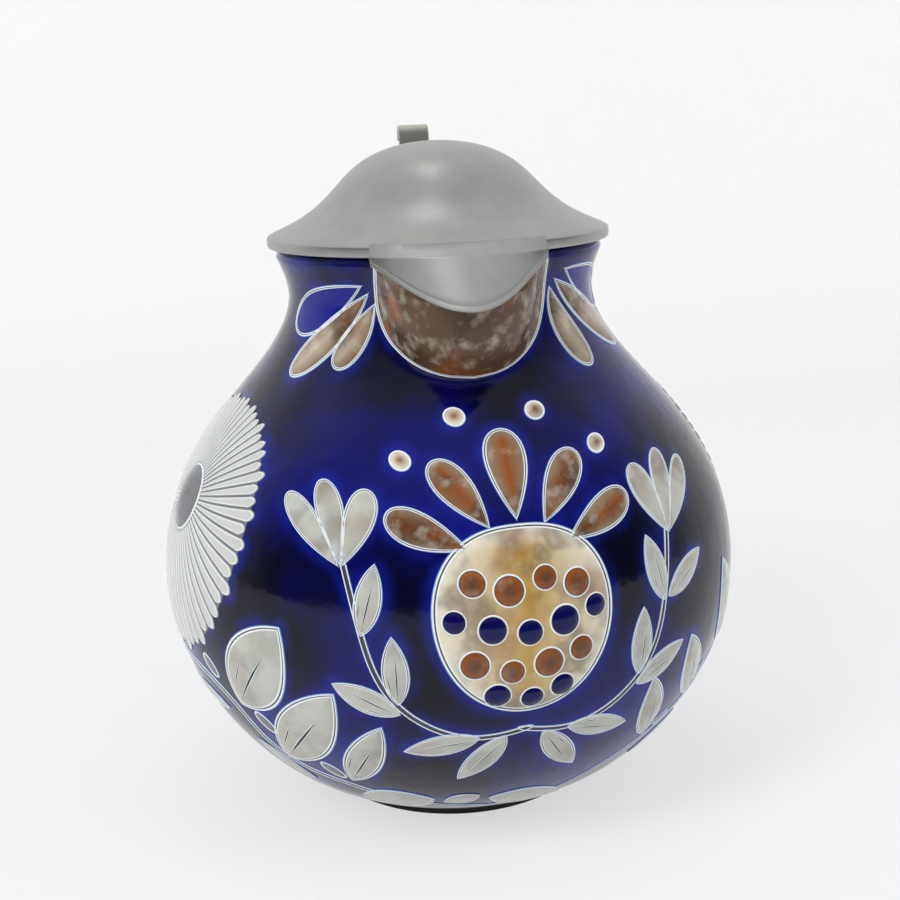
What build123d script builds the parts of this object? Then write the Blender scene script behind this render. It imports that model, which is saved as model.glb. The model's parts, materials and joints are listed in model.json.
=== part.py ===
"""Squat stoneware pouring jug with a hinged pewter lid.

The jug stands on its foot at the origin, +Z up. Its spout points along -Y and its
handle along +Y. All sizes are millimetres.
"""

import os

from build123d import *

# Thrown pot, outside radius and height at each turn of the outline
foot_radius = 42.0
foot_height = 3.2
foot_width = 7.0
foot_recess = 2.2
heel_radius = 44.0
lower_radius = 72.3
lower_height = 25.0
belly_radius = 90.0
belly_height = 69.0
flank_radius = 84.6
flank_rise = 31.0
shoulder_radius = 64.0
shoulder_rise = 30.0
throat_radius = 46.8
throat_rise = 29.0
rim_radius = 50.0
rim_rise = 13.8
pot_wall = 5.0
floor_thickness = 5.5
floor_radius = 38.0
inner_places = [0.9, 0.78, 0.64, 0.5, 0.36, 0.22, 0.12]

# Spout, a round cup drawn out of the front of the neck
spout_offset = 1.2
spout_depth = 34.2
spout_low_radius = 12.0
spout_low_depth = 29.2
spout_middle_radius = 18.6
spout_middle_depth = 18.2
spout_lip_radius = 23.2
spout_lip_flare = 0.2
spout_wall = 4.2
lip_drop = 11.0
lip_run = 25.4
lip_clearance = 0.8

# Handle, a flattened strap from the neck to the belly
handle_width = 24.0
handle_thickness = 12.5
handle_drop = 12.2
handle_elbow_run = 35.6
handle_belly = 14.0
handle_fall = 45.0
handle_foot_rise = 13.0
handle_elbow_bend = 30.0
handle_lower_bend = 34.0
handle_root_depth = 14.0

# Pewter lid
lid_overhang = 2.4
lid_gap = 0.4
lid_band_height = 3.2
lid_rise = 30.0
dome_inset = 27.6
dome_height = 22.8
dome_flank_inset = 17.8
dome_flank_height = 13.4
dome_skirt_inset = 9.7
dome_skirt_height = 7.6
dome_edge_slope = 0.35
dome_inner_places = [0.72, 0.56, 0.42, 0.3, 0.15]
lid_wall = 2.0
lid_seat_width = 7.4

# Spout cover, a cone segment that slopes from the lid's edge to its own tip
cover_root_radius = 36.0
cover_tip_radius = 24.0
cover_tip_overhang = 0.8
cover_wall = 2.8

# Hinge
pin_offset = 10.0
pin_rise = 3.4
pin_radius = 1.25
pin_clearance = 0.05
pin_head_radius = 2.0
pin_head_thickness = 0.7
pin_head_taper = 20.0
knuckle_radius = 3.8
knuckle_width = 2.8
knuckle_gap = 0.2
knuckle_count = 5
swing_clearance = 0.4
tang_width = 12.4
tang_tongue = 11.0
tang_tongue_thickness = 1.6
tang_thickness = 4.2

# Band and bracket that carry the hinge on the handle
band_width = 9.0
band_thickness = 1.5
band_clearance = 0.1
bracket_depth = 6.4
clasp_width = 9.0
clasp_length = 7.0
clasp_thickness = 1.6
clasp_height = 4.8
rivet_radius = 1.3
rivet_rise = 0.8
rivet_taper = 25.0
rivet_spacing = 4.5

# Thumb lift, a rolled strip that stands on the tang
lift_width = 10.4
lift_thickness = 2.0
lift_height = 25.5
lift_lean = 1.2
lift_foot_height = 4.0
lift_end_slope = 0.3
lift_roll_radius = 2.6
lift_roll_turn = 200.0

# Places worked out from the sizes above
flank_height = belly_height + flank_rise
shoulder_height = flank_height + shoulder_rise
throat_height = shoulder_height + throat_rise
rim_height = throat_height + rim_rise
lid_radius = rim_radius + lid_overhang
lid_base = rim_height + lid_gap
lid_edge_top = lid_base + lid_band_height
lid_top = lid_base + lid_rise
pin_reach = lid_radius + pin_offset
pin_height = lid_base + pin_rise
hinge_width = knuckle_count * knuckle_width + (knuckle_count - 1) * knuckle_gap
knuckle_pitch = knuckle_width + knuckle_gap
spout_reach = throat_radius + spout_offset
cover_tip_reach = spout_reach + spout_lip_radius + cover_tip_overhang
cover_width = 2 * spout_lip_radius
cover_tip_height = lid_base - lip_drop
cover_root_reach = cover_tip_reach - lip_run
cover_root_centre = lid_radius - cover_root_radius
cover_tip_centre = cover_tip_reach - cover_tip_radius
band_reach = pin_reach + band_width / 2 - knuckle_radius
handle_height = lid_base - handle_drop
handle_start = throat_radius - handle_root_depth
handle_elbow = pin_reach + handle_elbow_run
handle_foot_reach = belly_radius - handle_root_depth

POT_OUTLINE = [
    (heel_radius, foot_height),
    (lower_radius, lower_height),
    (belly_radius, belly_height),
    (flank_radius, flank_height),
    (shoulder_radius, shoulder_height),
    (throat_radius, throat_height),
    (rim_radius, rim_height - pot_wall / 2),
]
LID_OUTLINE = [
    (0, lid_top),
    (lid_radius - dome_inset, lid_base + dome_height),
    (lid_radius - dome_flank_inset, lid_base + dome_flank_height),
    (lid_radius - dome_skirt_inset, lid_base + dome_skirt_height),
    (lid_radius, lid_edge_top),
]


def inset_points(edge, distance, places):
    """Points that lie a distance to the left of an edge, at shares of its length."""
    points = []
    for place in places:
        along = edge % place
        points.append(edge @ place + Vector(-along.Y, along.X) * distance)
    return points


def pot_outer_curve():
    """The pot's outside, from its heel up to the rim."""
    return Spline(*POT_OUTLINE)


def lid_outer_curve():
    """The lid's outside, from the top of its dome out to its edge."""
    return Spline(*LID_OUTLINE, tangents=[(1, 0), (1, -dome_edge_slope)])


def spout_curve(wall):
    """The spout cup's outline about its own upright axis, drawn in by a wall."""
    return Spline(
        (0, lid_base - spout_depth + wall),
        (spout_low_radius - wall, lid_base - spout_low_depth + wall / 2),
        (spout_middle_radius - wall, lid_base - spout_middle_depth),
        (spout_lip_radius - wall, lid_base),
        tangents=[(1, 0), (spout_lip_flare, 1)],
    )


def handle_section(growth):
    """The handle's cross-section at its root, with an even growth all round."""
    return Ellipse(handle_width / 2 + growth, handle_thickness / 2 + growth)


def write(piece, name):
    """Labels a finished piece and writes it to its own file."""
    piece.part.label = name
    export_step(piece.part, f"parts/{name}.step")


os.makedirs("parts", exist_ok=True)

# Solid forms that other pieces are cut against
with BuildPart() as pot_form:
    with BuildSketch(Plane.XZ):
        with BuildLine():
            pot_side = pot_outer_curve()
            Polyline(pot_side @ 1, (rim_radius, lid_base), (0, lid_base), (0, foot_height), pot_side @ 0)
        make_face()
    revolve(axis=Axis.Z)

with BuildPart() as lid_form:
    with BuildSketch(Plane.XZ):
        with BuildLine():
            lid_side = lid_outer_curve()
            Polyline(lid_side @ 1, (lid_radius, lid_base), (0, lid_base), lid_side @ 0)
        make_face()
    revolve(axis=Axis.Z)

with BuildPart() as spout_hollow:
    with BuildSketch(Plane.XZ.offset(spout_reach)):
        with BuildLine():
            hollow_side = spout_curve(spout_wall)
            Polyline(
                hollow_side @ 1,
                (spout_lip_radius, lid_top),
                (0, lid_top),
                hollow_side @ 0,
            )
        make_face()
    revolve(axis=Axis((0, -spout_reach, 0), (0, 0, 1)))

# The sloping plane that the spout's lip and the cover's edge follow
lip_slope = Plane(
    origin=(0, -cover_root_reach, lid_base),
    x_dir=(1, 0, 0),
    z_dir=(0, -lip_drop, lip_run),
)

# Jug body: foot ring, belly, neck and rolled rim in one wall
with BuildPart() as jug_body:
    with BuildSketch(Plane.XZ):
        with BuildLine():
            outside = pot_outer_curve()
            inner_rim = (rim_radius - pot_wall, rim_height - pot_wall / 2)
            rolled_rim = ThreePointArc(
                outside @ 1, (rim_radius - pot_wall / 2, rim_height), inner_rim
            )
            inside = Spline(
                inner_rim,
                *inset_points(outside, pot_wall, inner_places),
                (floor_radius, foot_recess + floor_thickness),
            )
            Polyline(
                inside @ 1,
                (0, foot_recess + floor_thickness),
                (0, foot_recess),
                (foot_radius - foot_width, foot_recess),
                (foot_radius - foot_width, 0),
                (foot_radius, 0),
                (foot_radius, foot_height),
                outside @ 0,
            )
        make_face()
    revolve(axis=Axis.Z)
    add(spout_hollow.part, mode=Mode.SUBTRACT)
write(jug_body, "jug_body")

# Pouring spout: a cup wall that seats on the neck and is cut to the sloping lip
with BuildPart() as pouring_spout:
    with BuildSketch(Plane.XZ.offset(spout_reach)):
        with BuildLine():
            cup_side = spout_curve(0)
            Line(cup_side @ 1, (0, lid_base))
            Line((0, lid_base), cup_side @ 0)
        make_face()
    revolve(axis=Axis((0, -spout_reach, 0), (0, 0, 1)))
    add(pot_form.part, mode=Mode.SUBTRACT)
    add(spout_hollow.part, mode=Mode.SUBTRACT)
    split(bisect_by=lip_slope.offset(-lip_clearance), keep=Keep.BOTTOM)
write(pouring_spout, "pouring_spout")

# Handle
with BuildPart() as handle:
    with BuildLine(Plane.YZ):
        handle_line = FilletPolyline(
            (handle_start, handle_height),
            (handle_elbow, handle_height),
            (handle_elbow + handle_belly, handle_height - handle_fall),
            (handle_foot_reach, belly_height + handle_foot_rise),
            radius=[handle_elbow_bend, handle_lower_bend],
        )
    with BuildSketch(Plane.XZ.offset(-handle_start)):
        with Locations((0, handle_height)):
            handle_section(0)
    sweep(path=handle_line)
    add(pot_form.part, mode=Mode.SUBTRACT)
write(handle, "handle")

# Pewter band round the handle
with BuildPart() as band_form:
    with BuildSketch(Plane.XZ.offset(-(band_reach + band_width / 2))):
        with Locations((0, handle_height)):
            handle_section(band_clearance + band_thickness)
    extrude(amount=band_width)

with BuildPart() as handle_band:
    add(band_form.part)
    with BuildSketch(Plane.XZ.offset(-(band_reach + band_width / 2))):
        with Locations((0, handle_height)):
            handle_section(band_clearance)
    extrude(amount=band_width, mode=Mode.SUBTRACT)
write(handle_band, "handle_band")

# Clasp that closes the band below the handle
band_under = handle_height - handle_thickness / 2 - band_clearance - band_thickness
with BuildPart() as band_clasp:
    with Locations((0, band_reach, band_under - clasp_thickness)):
        Box(
            clasp_width,
            clasp_length,
            clasp_height,
            align=(Align.CENTER, Align.CENTER, Align.MIN),
        )
    fillet(band_clasp.edges().filter_by(Axis.Z), clasp_thickness / 2)
    add(band_form.part, mode=Mode.SUBTRACT)
write(band_clasp, "band_clasp")

# Two rivet heads on the clasp
with BuildPart() as clasp_rivets:
    with BuildSketch(Plane.XY.offset(band_under - clasp_thickness)):
        with Locations((0, band_reach)):
            with GridLocations(rivet_spacing, 0, 2, 1):
                Circle(rivet_radius)
    extrude(amount=-rivet_rise, taper=rivet_taper)
write(clasp_rivets, "clasp_rivets")


def knuckle_places(first):
    """Sideways places of every second knuckle, counted from the first."""
    middle = (knuckle_count - 1) / 2
    return [(i - middle) * knuckle_pitch for i in range(first, knuckle_count, 2)]


hinge_plane = Plane(origin=(0, pin_reach, pin_height), x_dir=(0, 1, 0), z_dir=(1, 0, 0))

# Bracket: a post on the band with the fixed knuckles at its top
with BuildPart() as hinge_bracket:
    with Locations((0, pin_reach, pin_height)):
        Box(
            hinge_width,
            bracket_depth,
            pin_height - handle_height,
            align=(Align.CENTER, Align.CENTER, Align.MAX),
        )
    with BuildSketch(hinge_plane.offset(-hinge_width / 2)):
        Circle(knuckle_radius)
    extrude(amount=hinge_width)
    for place in knuckle_places(1):
        with BuildSketch(hinge_plane.offset(place - knuckle_width / 2 - knuckle_gap)):
            Circle(knuckle_radius + swing_clearance)
        extrude(amount=knuckle_width + 2 * knuckle_gap, mode=Mode.SUBTRACT)
    with BuildSketch(hinge_plane.offset(-hinge_width / 2)):
        Circle(pin_radius + pin_clearance)
    extrude(amount=hinge_width, mode=Mode.SUBTRACT)
    add(band_form.part, mode=Mode.SUBTRACT)
write(hinge_bracket, "hinge_bracket")

# Hinge pin with peened heads
with BuildPart() as hinge_pin:
    head_start = hinge_width / 2 + pin_clearance
    with BuildSketch(hinge_plane.offset(-head_start)):
        Circle(pin_radius)
    extrude(amount=2 * head_start)
    with BuildSketch(hinge_plane.offset(head_start)):
        Circle(pin_head_radius)
    extrude(amount=pin_head_thickness, taper=pin_head_taper)
    with BuildSketch(hinge_plane.offset(-head_start)):
        Circle(pin_head_radius)
    extrude(amount=-pin_head_thickness, taper=pin_head_taper)
write(hinge_pin, "hinge_pin")

# Lid shell: dome, flared skirt and a flat seat inside the thick edge
with BuildPart() as lid_shell:
    with BuildSketch(Plane.XZ):
        with BuildLine():
            top_side = lid_outer_curve()
            seat_edge = (lid_radius - lid_seat_width, lid_base)
            under_side = Spline(
                seat_edge,
                *inset_points(top_side, -lid_wall, dome_inner_places),
                (0, lid_top - lid_wall),
            )
            Polyline(top_side @ 1, (lid_radius, lid_base), seat_edge)
            Line(under_side @ 1, top_side @ 0)
        make_face()
    revolve(axis=Axis.Z)
write(lid_shell, "lid_shell")

# Spout cover: a sloping cone wall, cut off along the lip and squared at its sides
with BuildPart() as spout_cover:
    with BuildSketch(Plane.XY.offset(lid_edge_top)):
        with Locations((0, -cover_root_centre)):
            Circle(cover_root_radius)
    with BuildSketch(Plane.XY.offset(cover_tip_height)):
        with Locations((0, -cover_tip_centre)):
            Circle(cover_tip_radius)
    loft()
    with BuildSketch(Plane.XY.offset(lid_edge_top)):
        with Locations((0, -cover_root_centre)):
            Circle(cover_root_radius - cover_wall)
    with BuildSketch(Plane.XY.offset(cover_tip_height)):
        with Locations((0, -cover_tip_centre)):
            Circle(cover_tip_radius - cover_wall)
    loft(mode=Mode.SUBTRACT)
    add(lid_form.part, mode=Mode.SUBTRACT)
    split(bisect_by=lip_slope, keep=Keep.TOP)
    with Locations((0, -lid_radius, lid_base)):
        Box(cover_width, lid_radius, 2 * lid_rise, mode=Mode.INTERSECT)
write(spout_cover, "spout_cover")

# Tang: a tongue soldered on the lid's skirt, with the moving knuckles at its end
tang_end = pin_reach - knuckle_radius - swing_clearance
tang_start = lid_radius - tang_tongue
with BuildPart() as lid_tang:
    with BuildSketch(Plane.YZ.offset(-tang_width / 2)):
        with BuildLine():
            Polyline(
                (tang_start, lid_base + dome_skirt_height + tang_tongue_thickness),
                (lid_radius, lid_edge_top + tang_tongue_thickness),
                (tang_end, pin_height + tang_thickness / 2),
                (tang_end, pin_height - tang_thickness / 2),
                (tang_start, pin_height - tang_thickness / 2),
                close=True,
            )
        make_face()
    extrude(amount=tang_width)
    for place in knuckle_places(1):
        with BuildSketch(hinge_plane.offset(place - knuckle_width / 2)):
            Circle(knuckle_radius)
            with Locations((-knuckle_radius, 0)):
                Rectangle(2 * knuckle_radius, tang_thickness)
        extrude(amount=knuckle_width)
    with BuildSketch(hinge_plane.offset(-hinge_width / 2)):
        Circle(pin_radius + pin_clearance)
    extrude(amount=hinge_width, mode=Mode.SUBTRACT)
    add(lid_form.part, mode=Mode.SUBTRACT)
write(lid_tang, "lid_tang")

# Thumb lift, seated on the tang just in front of the knuckles
lift_reach = tang_end - lift_thickness / 2
lift_foot = pin_height + tang_thickness / 2
lift_top = lift_foot + lift_height
with BuildPart() as thumb_lift:
    with BuildSketch(Plane.YZ.offset(-lift_width / 2)):
        with BuildLine():
            stem = Spline(
                (lift_reach, lift_foot + lift_thickness / 2),
                (lift_reach + lift_lean / 2, lift_foot + lift_height / 2),
                (lift_reach + 2 * lift_lean, lift_top),
                tangents=[(0, 1), (lift_end_slope, 1)],
            )
            JernArc(stem @ 1, stem % 1, lift_roll_radius, -lift_roll_turn)
        trace(line_width=lift_thickness)
        with Locations((lift_reach, lift_foot)):
            Rectangle(lift_thickness, lift_foot_height, align=(Align.CENTER, Align.MIN))
    extrude(amount=lift_width)
write(thumb_lift, "thumb_lift")
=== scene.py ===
"""A squat stoneware pouring jug with a hinged pewter lid.

The pot, its drawn spout and its strap handle are thrown stoneware under a cobalt
glaze, with carved ornament in cream, grey, ochre and brown. The lid, its spout cover,
its thumb lift and its hinge are pewter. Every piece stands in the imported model's frame.
"""

import json
import logging
import math
from collections.abc import Sequence
from dataclasses import dataclass, field, replace
from enum import Enum

import bmesh
import bpy
import numpy as np
from mathutils import Matrix, Vector
from mathutils.bvhtree import BVHTree
from mathutils.kdtree import KDTree

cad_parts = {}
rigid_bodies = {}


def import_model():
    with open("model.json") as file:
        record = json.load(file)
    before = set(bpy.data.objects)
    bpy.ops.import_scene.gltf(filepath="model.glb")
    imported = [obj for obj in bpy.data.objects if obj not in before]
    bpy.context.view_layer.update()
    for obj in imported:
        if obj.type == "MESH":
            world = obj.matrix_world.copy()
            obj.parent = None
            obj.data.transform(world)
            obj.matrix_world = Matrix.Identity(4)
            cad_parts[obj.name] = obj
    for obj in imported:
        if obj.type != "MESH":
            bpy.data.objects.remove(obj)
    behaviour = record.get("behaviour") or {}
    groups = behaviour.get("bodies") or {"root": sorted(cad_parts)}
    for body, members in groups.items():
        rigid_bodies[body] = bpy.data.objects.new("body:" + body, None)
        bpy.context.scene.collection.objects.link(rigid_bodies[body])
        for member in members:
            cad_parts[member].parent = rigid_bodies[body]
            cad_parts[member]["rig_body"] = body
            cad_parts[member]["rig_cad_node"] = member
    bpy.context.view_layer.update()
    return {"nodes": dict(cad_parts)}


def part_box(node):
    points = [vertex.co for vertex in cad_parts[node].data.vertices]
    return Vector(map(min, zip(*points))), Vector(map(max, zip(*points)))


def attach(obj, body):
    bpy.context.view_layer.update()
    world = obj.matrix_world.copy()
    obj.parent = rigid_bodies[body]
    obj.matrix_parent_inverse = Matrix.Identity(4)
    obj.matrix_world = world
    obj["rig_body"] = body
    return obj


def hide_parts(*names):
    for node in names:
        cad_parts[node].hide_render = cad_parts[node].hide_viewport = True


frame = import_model()

log = logging.getLogger("jug")
Pair = tuple[float, float]
Place = tuple[float, float, float]
Colour = tuple[float, float, float, float]
Socket = bpy.types.NodeSocket
MM = 0.001
JUG = "jug"
LID = "lid"
WELD_DISTANCE = 1e-6
# The spout's lip lies in a plane that starts in front of the axis and falls forwards.
LIP_START = 0.0466
LIP_SLOPE = 11.0 / 25.4


def linear(red: int, green: int, blue: int) -> Colour:
    """A colour as it looks on a screen, from 0 to 255, as the light values of a shader."""
    channels = [pow(channel / 255, 2.2) for channel in (red, green, blue)]
    return (*channels, 1.0)


class Glaze(Enum):
    """The glazes of the ornament."""

    COBALT = linear(14, 18, 120)
    SKY = linear(120, 160, 215)
    CHALK = linear(226, 230, 232)
    SLATE = linear(64, 66, 78)
    ASH = linear(176, 178, 170)
    PEARL = linear(186, 187, 184)
    STONE = linear(112, 114, 118)
    CREAM = linear(214, 209, 190)
    OCHRE = linear(176, 142, 74)
    UMBER = linear(84, 66, 52)
    LOAM = linear(128, 112, 92)
    OAT = linear(170, 158, 138)
    AMBER = linear(134, 74, 30)
    NIGHT = linear(12, 12, 74)
    SOOT = linear(14, 14, 18)


def choose(piece: bpy.types.Object) -> None:
    """Selects one piece alone and makes it the active one.

    Args:
        piece: The piece to select.
    """
    bpy.ops.object.select_all(action="DESELECT")
    piece.select_set(True)
    bpy.context.view_layer.objects.active = piece


def apply_modifiers(piece: bpy.types.Object) -> None:
    """Applies every modifier of a piece in its order.

    Args:
        piece: The piece whose modifiers are applied.
    """
    choose(piece)
    for modifier in list(piece.modifiers):
        bpy.ops.object.modifier_apply(modifier=modifier.name)


def smooth(piece: bpy.types.Object, degrees: float) -> None:
    """Shades a piece smooth, apart from edges that turn by more than an angle."""
    choose(piece)
    bpy.ops.object.shade_smooth_by_angle(angle=math.radians(degrees))


def turn_outwards(piece: bpy.types.Object, flatten: float = 0.0) -> None:
    """Merges doubled points and turns every face outwards.

    Args:
        piece: The piece to clean.
        flatten: The angle in degrees under which faces are merged, or 0 to merge none.
    """
    choose(piece)
    bpy.ops.object.mode_set(mode="EDIT")
    bpy.ops.mesh.select_all(action="SELECT")
    bpy.ops.mesh.remove_doubles(threshold=WELD_DISTANCE)
    bpy.ops.mesh.normals_make_consistent(inside=False)
    if flatten:
        bpy.ops.mesh.dissolve_limited(angle_limit=math.radians(flatten))
    bpy.ops.object.mode_set(mode="OBJECT")


def smooth_curve(points: Sequence[Sequence[float]], count: int) -> np.ndarray:
    """A natural cubic curve through points, spaced by the lengths of its chords.

    Args:
        points: The points that the curve goes through.
        count: How many points to return along it.

    Returns:
        The points of the curve, one a row.
    """
    knots = np.asarray(points, float)
    gaps = np.linalg.norm(np.diff(knots, axis=0), axis=1)
    chord = np.concatenate([[0.0], np.cumsum(gaps)])
    last = len(knots) - 1
    system = np.eye(last + 1)
    pull = np.zeros_like(knots)
    for i in range(1, last):
        system[i, i - 1 : i + 2] = gaps[i - 1], 2 * (gaps[i - 1] + gaps[i]), gaps[i]
        after = (knots[i + 1] - knots[i]) / gaps[i]
        before = (knots[i] - knots[i - 1]) / gaps[i - 1]
        pull[i] = 6 * (after - before)
    bend = np.linalg.solve(system, pull)
    along = np.linspace(0, chord[-1], count)
    left = np.clip(np.searchsorted(chord, along, side="right") - 1, 0, last - 1)
    span = gaps[left][:, None]
    near = (chord[left + 1] - along)[:, None] / span
    far = 1 - near
    straight = near * knots[left] + far * knots[left + 1]
    curl = (near**3 - near) * bend[left] + (far**3 - far) * bend[left + 1]
    return straight + curl * span**2 / 6


def arc(centre: Pair, radius: float, start: float, end: float, count: int) -> list[Pair]:
    """Points along an arc.

    Args:
        centre: The arc's centre.
        radius: Its radius.
        start: The angle of its first point, in degrees.
        end: The angle of its last point.
        count: How many points it has.

    Returns:
        The points as pairs.
    """
    angles = np.radians(np.linspace(start, end, count))
    return [(centre[0] + radius * math.cos(a), centre[1] + radius * math.sin(a)) for a in angles]


def unit_rows(rows: np.ndarray) -> np.ndarray:
    """Each row of numbers, scaled to a length of 1."""
    return rows / np.linalg.norm(rows, axis=1)[:, None]


def headings(line: np.ndarray) -> np.ndarray:
    """The unit heading of a flat line at each of its points."""
    return unit_rows(np.gradient(line, axis=0))


def turned_left(rows: np.ndarray) -> np.ndarray:
    """Flat headings turned left by a quarter turn."""
    return np.stack([-rows[:, 1], rows[:, 0]], axis=1)


def runs_along(line: np.ndarray) -> np.ndarray:
    """How far along a line each of its points lies."""
    return np.concatenate([[0.0], np.cumsum(np.linalg.norm(np.diff(line, axis=0), axis=1))])


def round_axis(out: np.ndarray, turn: np.ndarray, height: np.ndarray) -> np.ndarray:
    """Points at distances from the upright axis, turns from the spout in radians and heights."""
    return np.stack([out * np.sin(turn), -out * np.cos(turn), height], axis=-1)


def add_circle(name: str, count: int, fill: str = "NOTHING") -> bpy.types.Object:
    """Adds a flat circle as a new piece.

    Args:
        name: The piece's name.
        count: How many points it has.
        fill: How it is filled.

    Returns:
        The new piece.
    """
    bpy.ops.object.select_all(action="DESELECT")
    bpy.ops.mesh.primitive_circle_add(vertices=count, fill_type=fill)
    piece = bpy.context.object
    piece.name = name
    piece.data.name = name
    return piece
def draw_rings(name: str, rings: Sequence[np.ndarray], closed_ends: bool = False) -> bpy.types.Object:
    """Models a surface from a circle that is extruded from ring to ring.

    Args:
        name: The piece's name.
        rings: The places of each ring's points, all of one count.
        closed_ends: Whether the first and the last ring are filled.

    Returns:
        The new piece, whose points hold their ring and their place round it.
    """
    piece = add_circle(name, len(rings[0]), "NGON" if closed_ends else "NOTHING")
    bpy.ops.object.mode_set(mode="EDIT")
    work = bmesh.from_edit_mesh(piece.data)
    around = work.verts.layers.int.new("around")
    ring_layer = work.verts.layers.int.new("ring")
    work.verts.ensure_lookup_table()
    for index, point in enumerate(work.verts):
        point[around] = index
        point.co = rings[0][index]
    for number, ring in enumerate(rings[1:], start=1):
        if closed_ends:
            bpy.ops.mesh.extrude_region()
        else:
            bpy.ops.mesh.extrude_edges_indiv()
        work = bmesh.from_edit_mesh(piece.data)
        for point in work.verts:
            if point.select:
                point.co = ring[point[around]]
                point[ring_layer] = number
    bmesh.update_edit_mesh(piece.data)
    bpy.ops.object.mode_set(mode="OBJECT")
    return piece


def spin_section(name: str, section: Sequence[Pair], steps: int) -> bpy.types.Object:
    """Spins an open section round the upright axis into a turned piece.

    Args:
        name: The piece's name.
        section: The section's points as radius and height, from the axis back to the axis.
        steps: How many steps a full turn has.

    Returns:
        The turned piece, merged, with its faces outwards.
    """
    piece = add_circle(name, len(section))
    for point, (radius, height) in zip(piece.data.vertices, section):
        point.co = (0.0, -radius, height)
    bpy.ops.object.mode_set(mode="EDIT")
    work = bmesh.from_edit_mesh(piece.data)
    work.verts.ensure_lookup_table()
    work.edges.remove(work.edges.get((work.verts[0], work.verts[-1])))
    bmesh.update_edit_mesh(piece.data)
    bpy.ops.mesh.select_all(action="SELECT")
    bpy.ops.mesh.spin(
        steps=steps,
        angle=math.tau,
        use_auto_merge=True,
        center=(0, 0, 0),
        axis=(0, 0, 1),
    )
    bpy.ops.object.mode_set(mode="OBJECT")
    turn_outwards(piece)
    return piece


def paint_glaze(
    piece: bpy.types.Object,
    glow: np.ndarray | float,
    bare: np.ndarray | float = 0.0,
    tint: np.ndarray | Colour = Glaze.COBALT.value,
    ground: np.ndarray | float = 1.0,
    mottle: np.ndarray | float = 0.0,
) -> None:
    """Writes what the glaze reads on a piece's points, each one value or one a point.

    Args:
        piece: The piece to paint.
        glow: How bright the ground glaze is.
        bare: Whether the foot is painted near-black, bare clay with a painted shade under the jug.
        tint: The colour of a carved field.
        ground: Whether the ground glaze shows instead of that colour.
        mottle: How mottled the field is.
    """
    count = len(piece.data.vertices)
    layer = piece.data.attributes.new("tint", "FLOAT_COLOR", "POINT")
    layer.data.foreach_set("color", np.broadcast_to(tint, (count, 4)).astype(np.float32).ravel())
    for name, values in (("ground", ground), ("mottle", mottle), ("glow", glow), ("bare", bare)):
        layer = piece.data.attributes.new(name, "FLOAT", "POINT")
        layer.data.foreach_set("value", np.broadcast_to(values, count).astype(np.float32))


def read_points(piece: bpy.types.Object) -> np.ndarray:
    """Reads the places of a piece's points.

    Args:
        piece: The piece.

    Returns:
        The places, one a row.
    """
    places = np.zeros(len(piece.data.vertices) * 3, np.float32)
    piece.data.vertices.foreach_get("co", places)
    return places.reshape(-1, 3).astype(float)


def write_points(piece: bpy.types.Object, places: np.ndarray) -> None:
    """Puts a piece's points at new places."""
    piece.data.vertices.foreach_set("co", places.astype(np.float32).ravel())
    piece.data.update()


def read_rings(piece: bpy.types.Object) -> np.ndarray:
    """Reads which ring each point of a drawn piece lies on.

    Args:
        piece: A piece made by draw_rings.

    Returns:
        The number of the ring of each point.
    """
    numbers = np.zeros(len(piece.data.vertices), np.int32)
    piece.data.attributes["ring"].data.foreach_get("value", numbers)
    return numbers


def ray_tree(mesh: bpy.types.Mesh) -> BVHTree:
    """A mesh as a tree that rays are cast at."""
    faces = [list(face.vertices) for face in mesh.polygons]
    return BVHTree.FromPolygons([point.co for point in mesh.vertices], faces)


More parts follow.
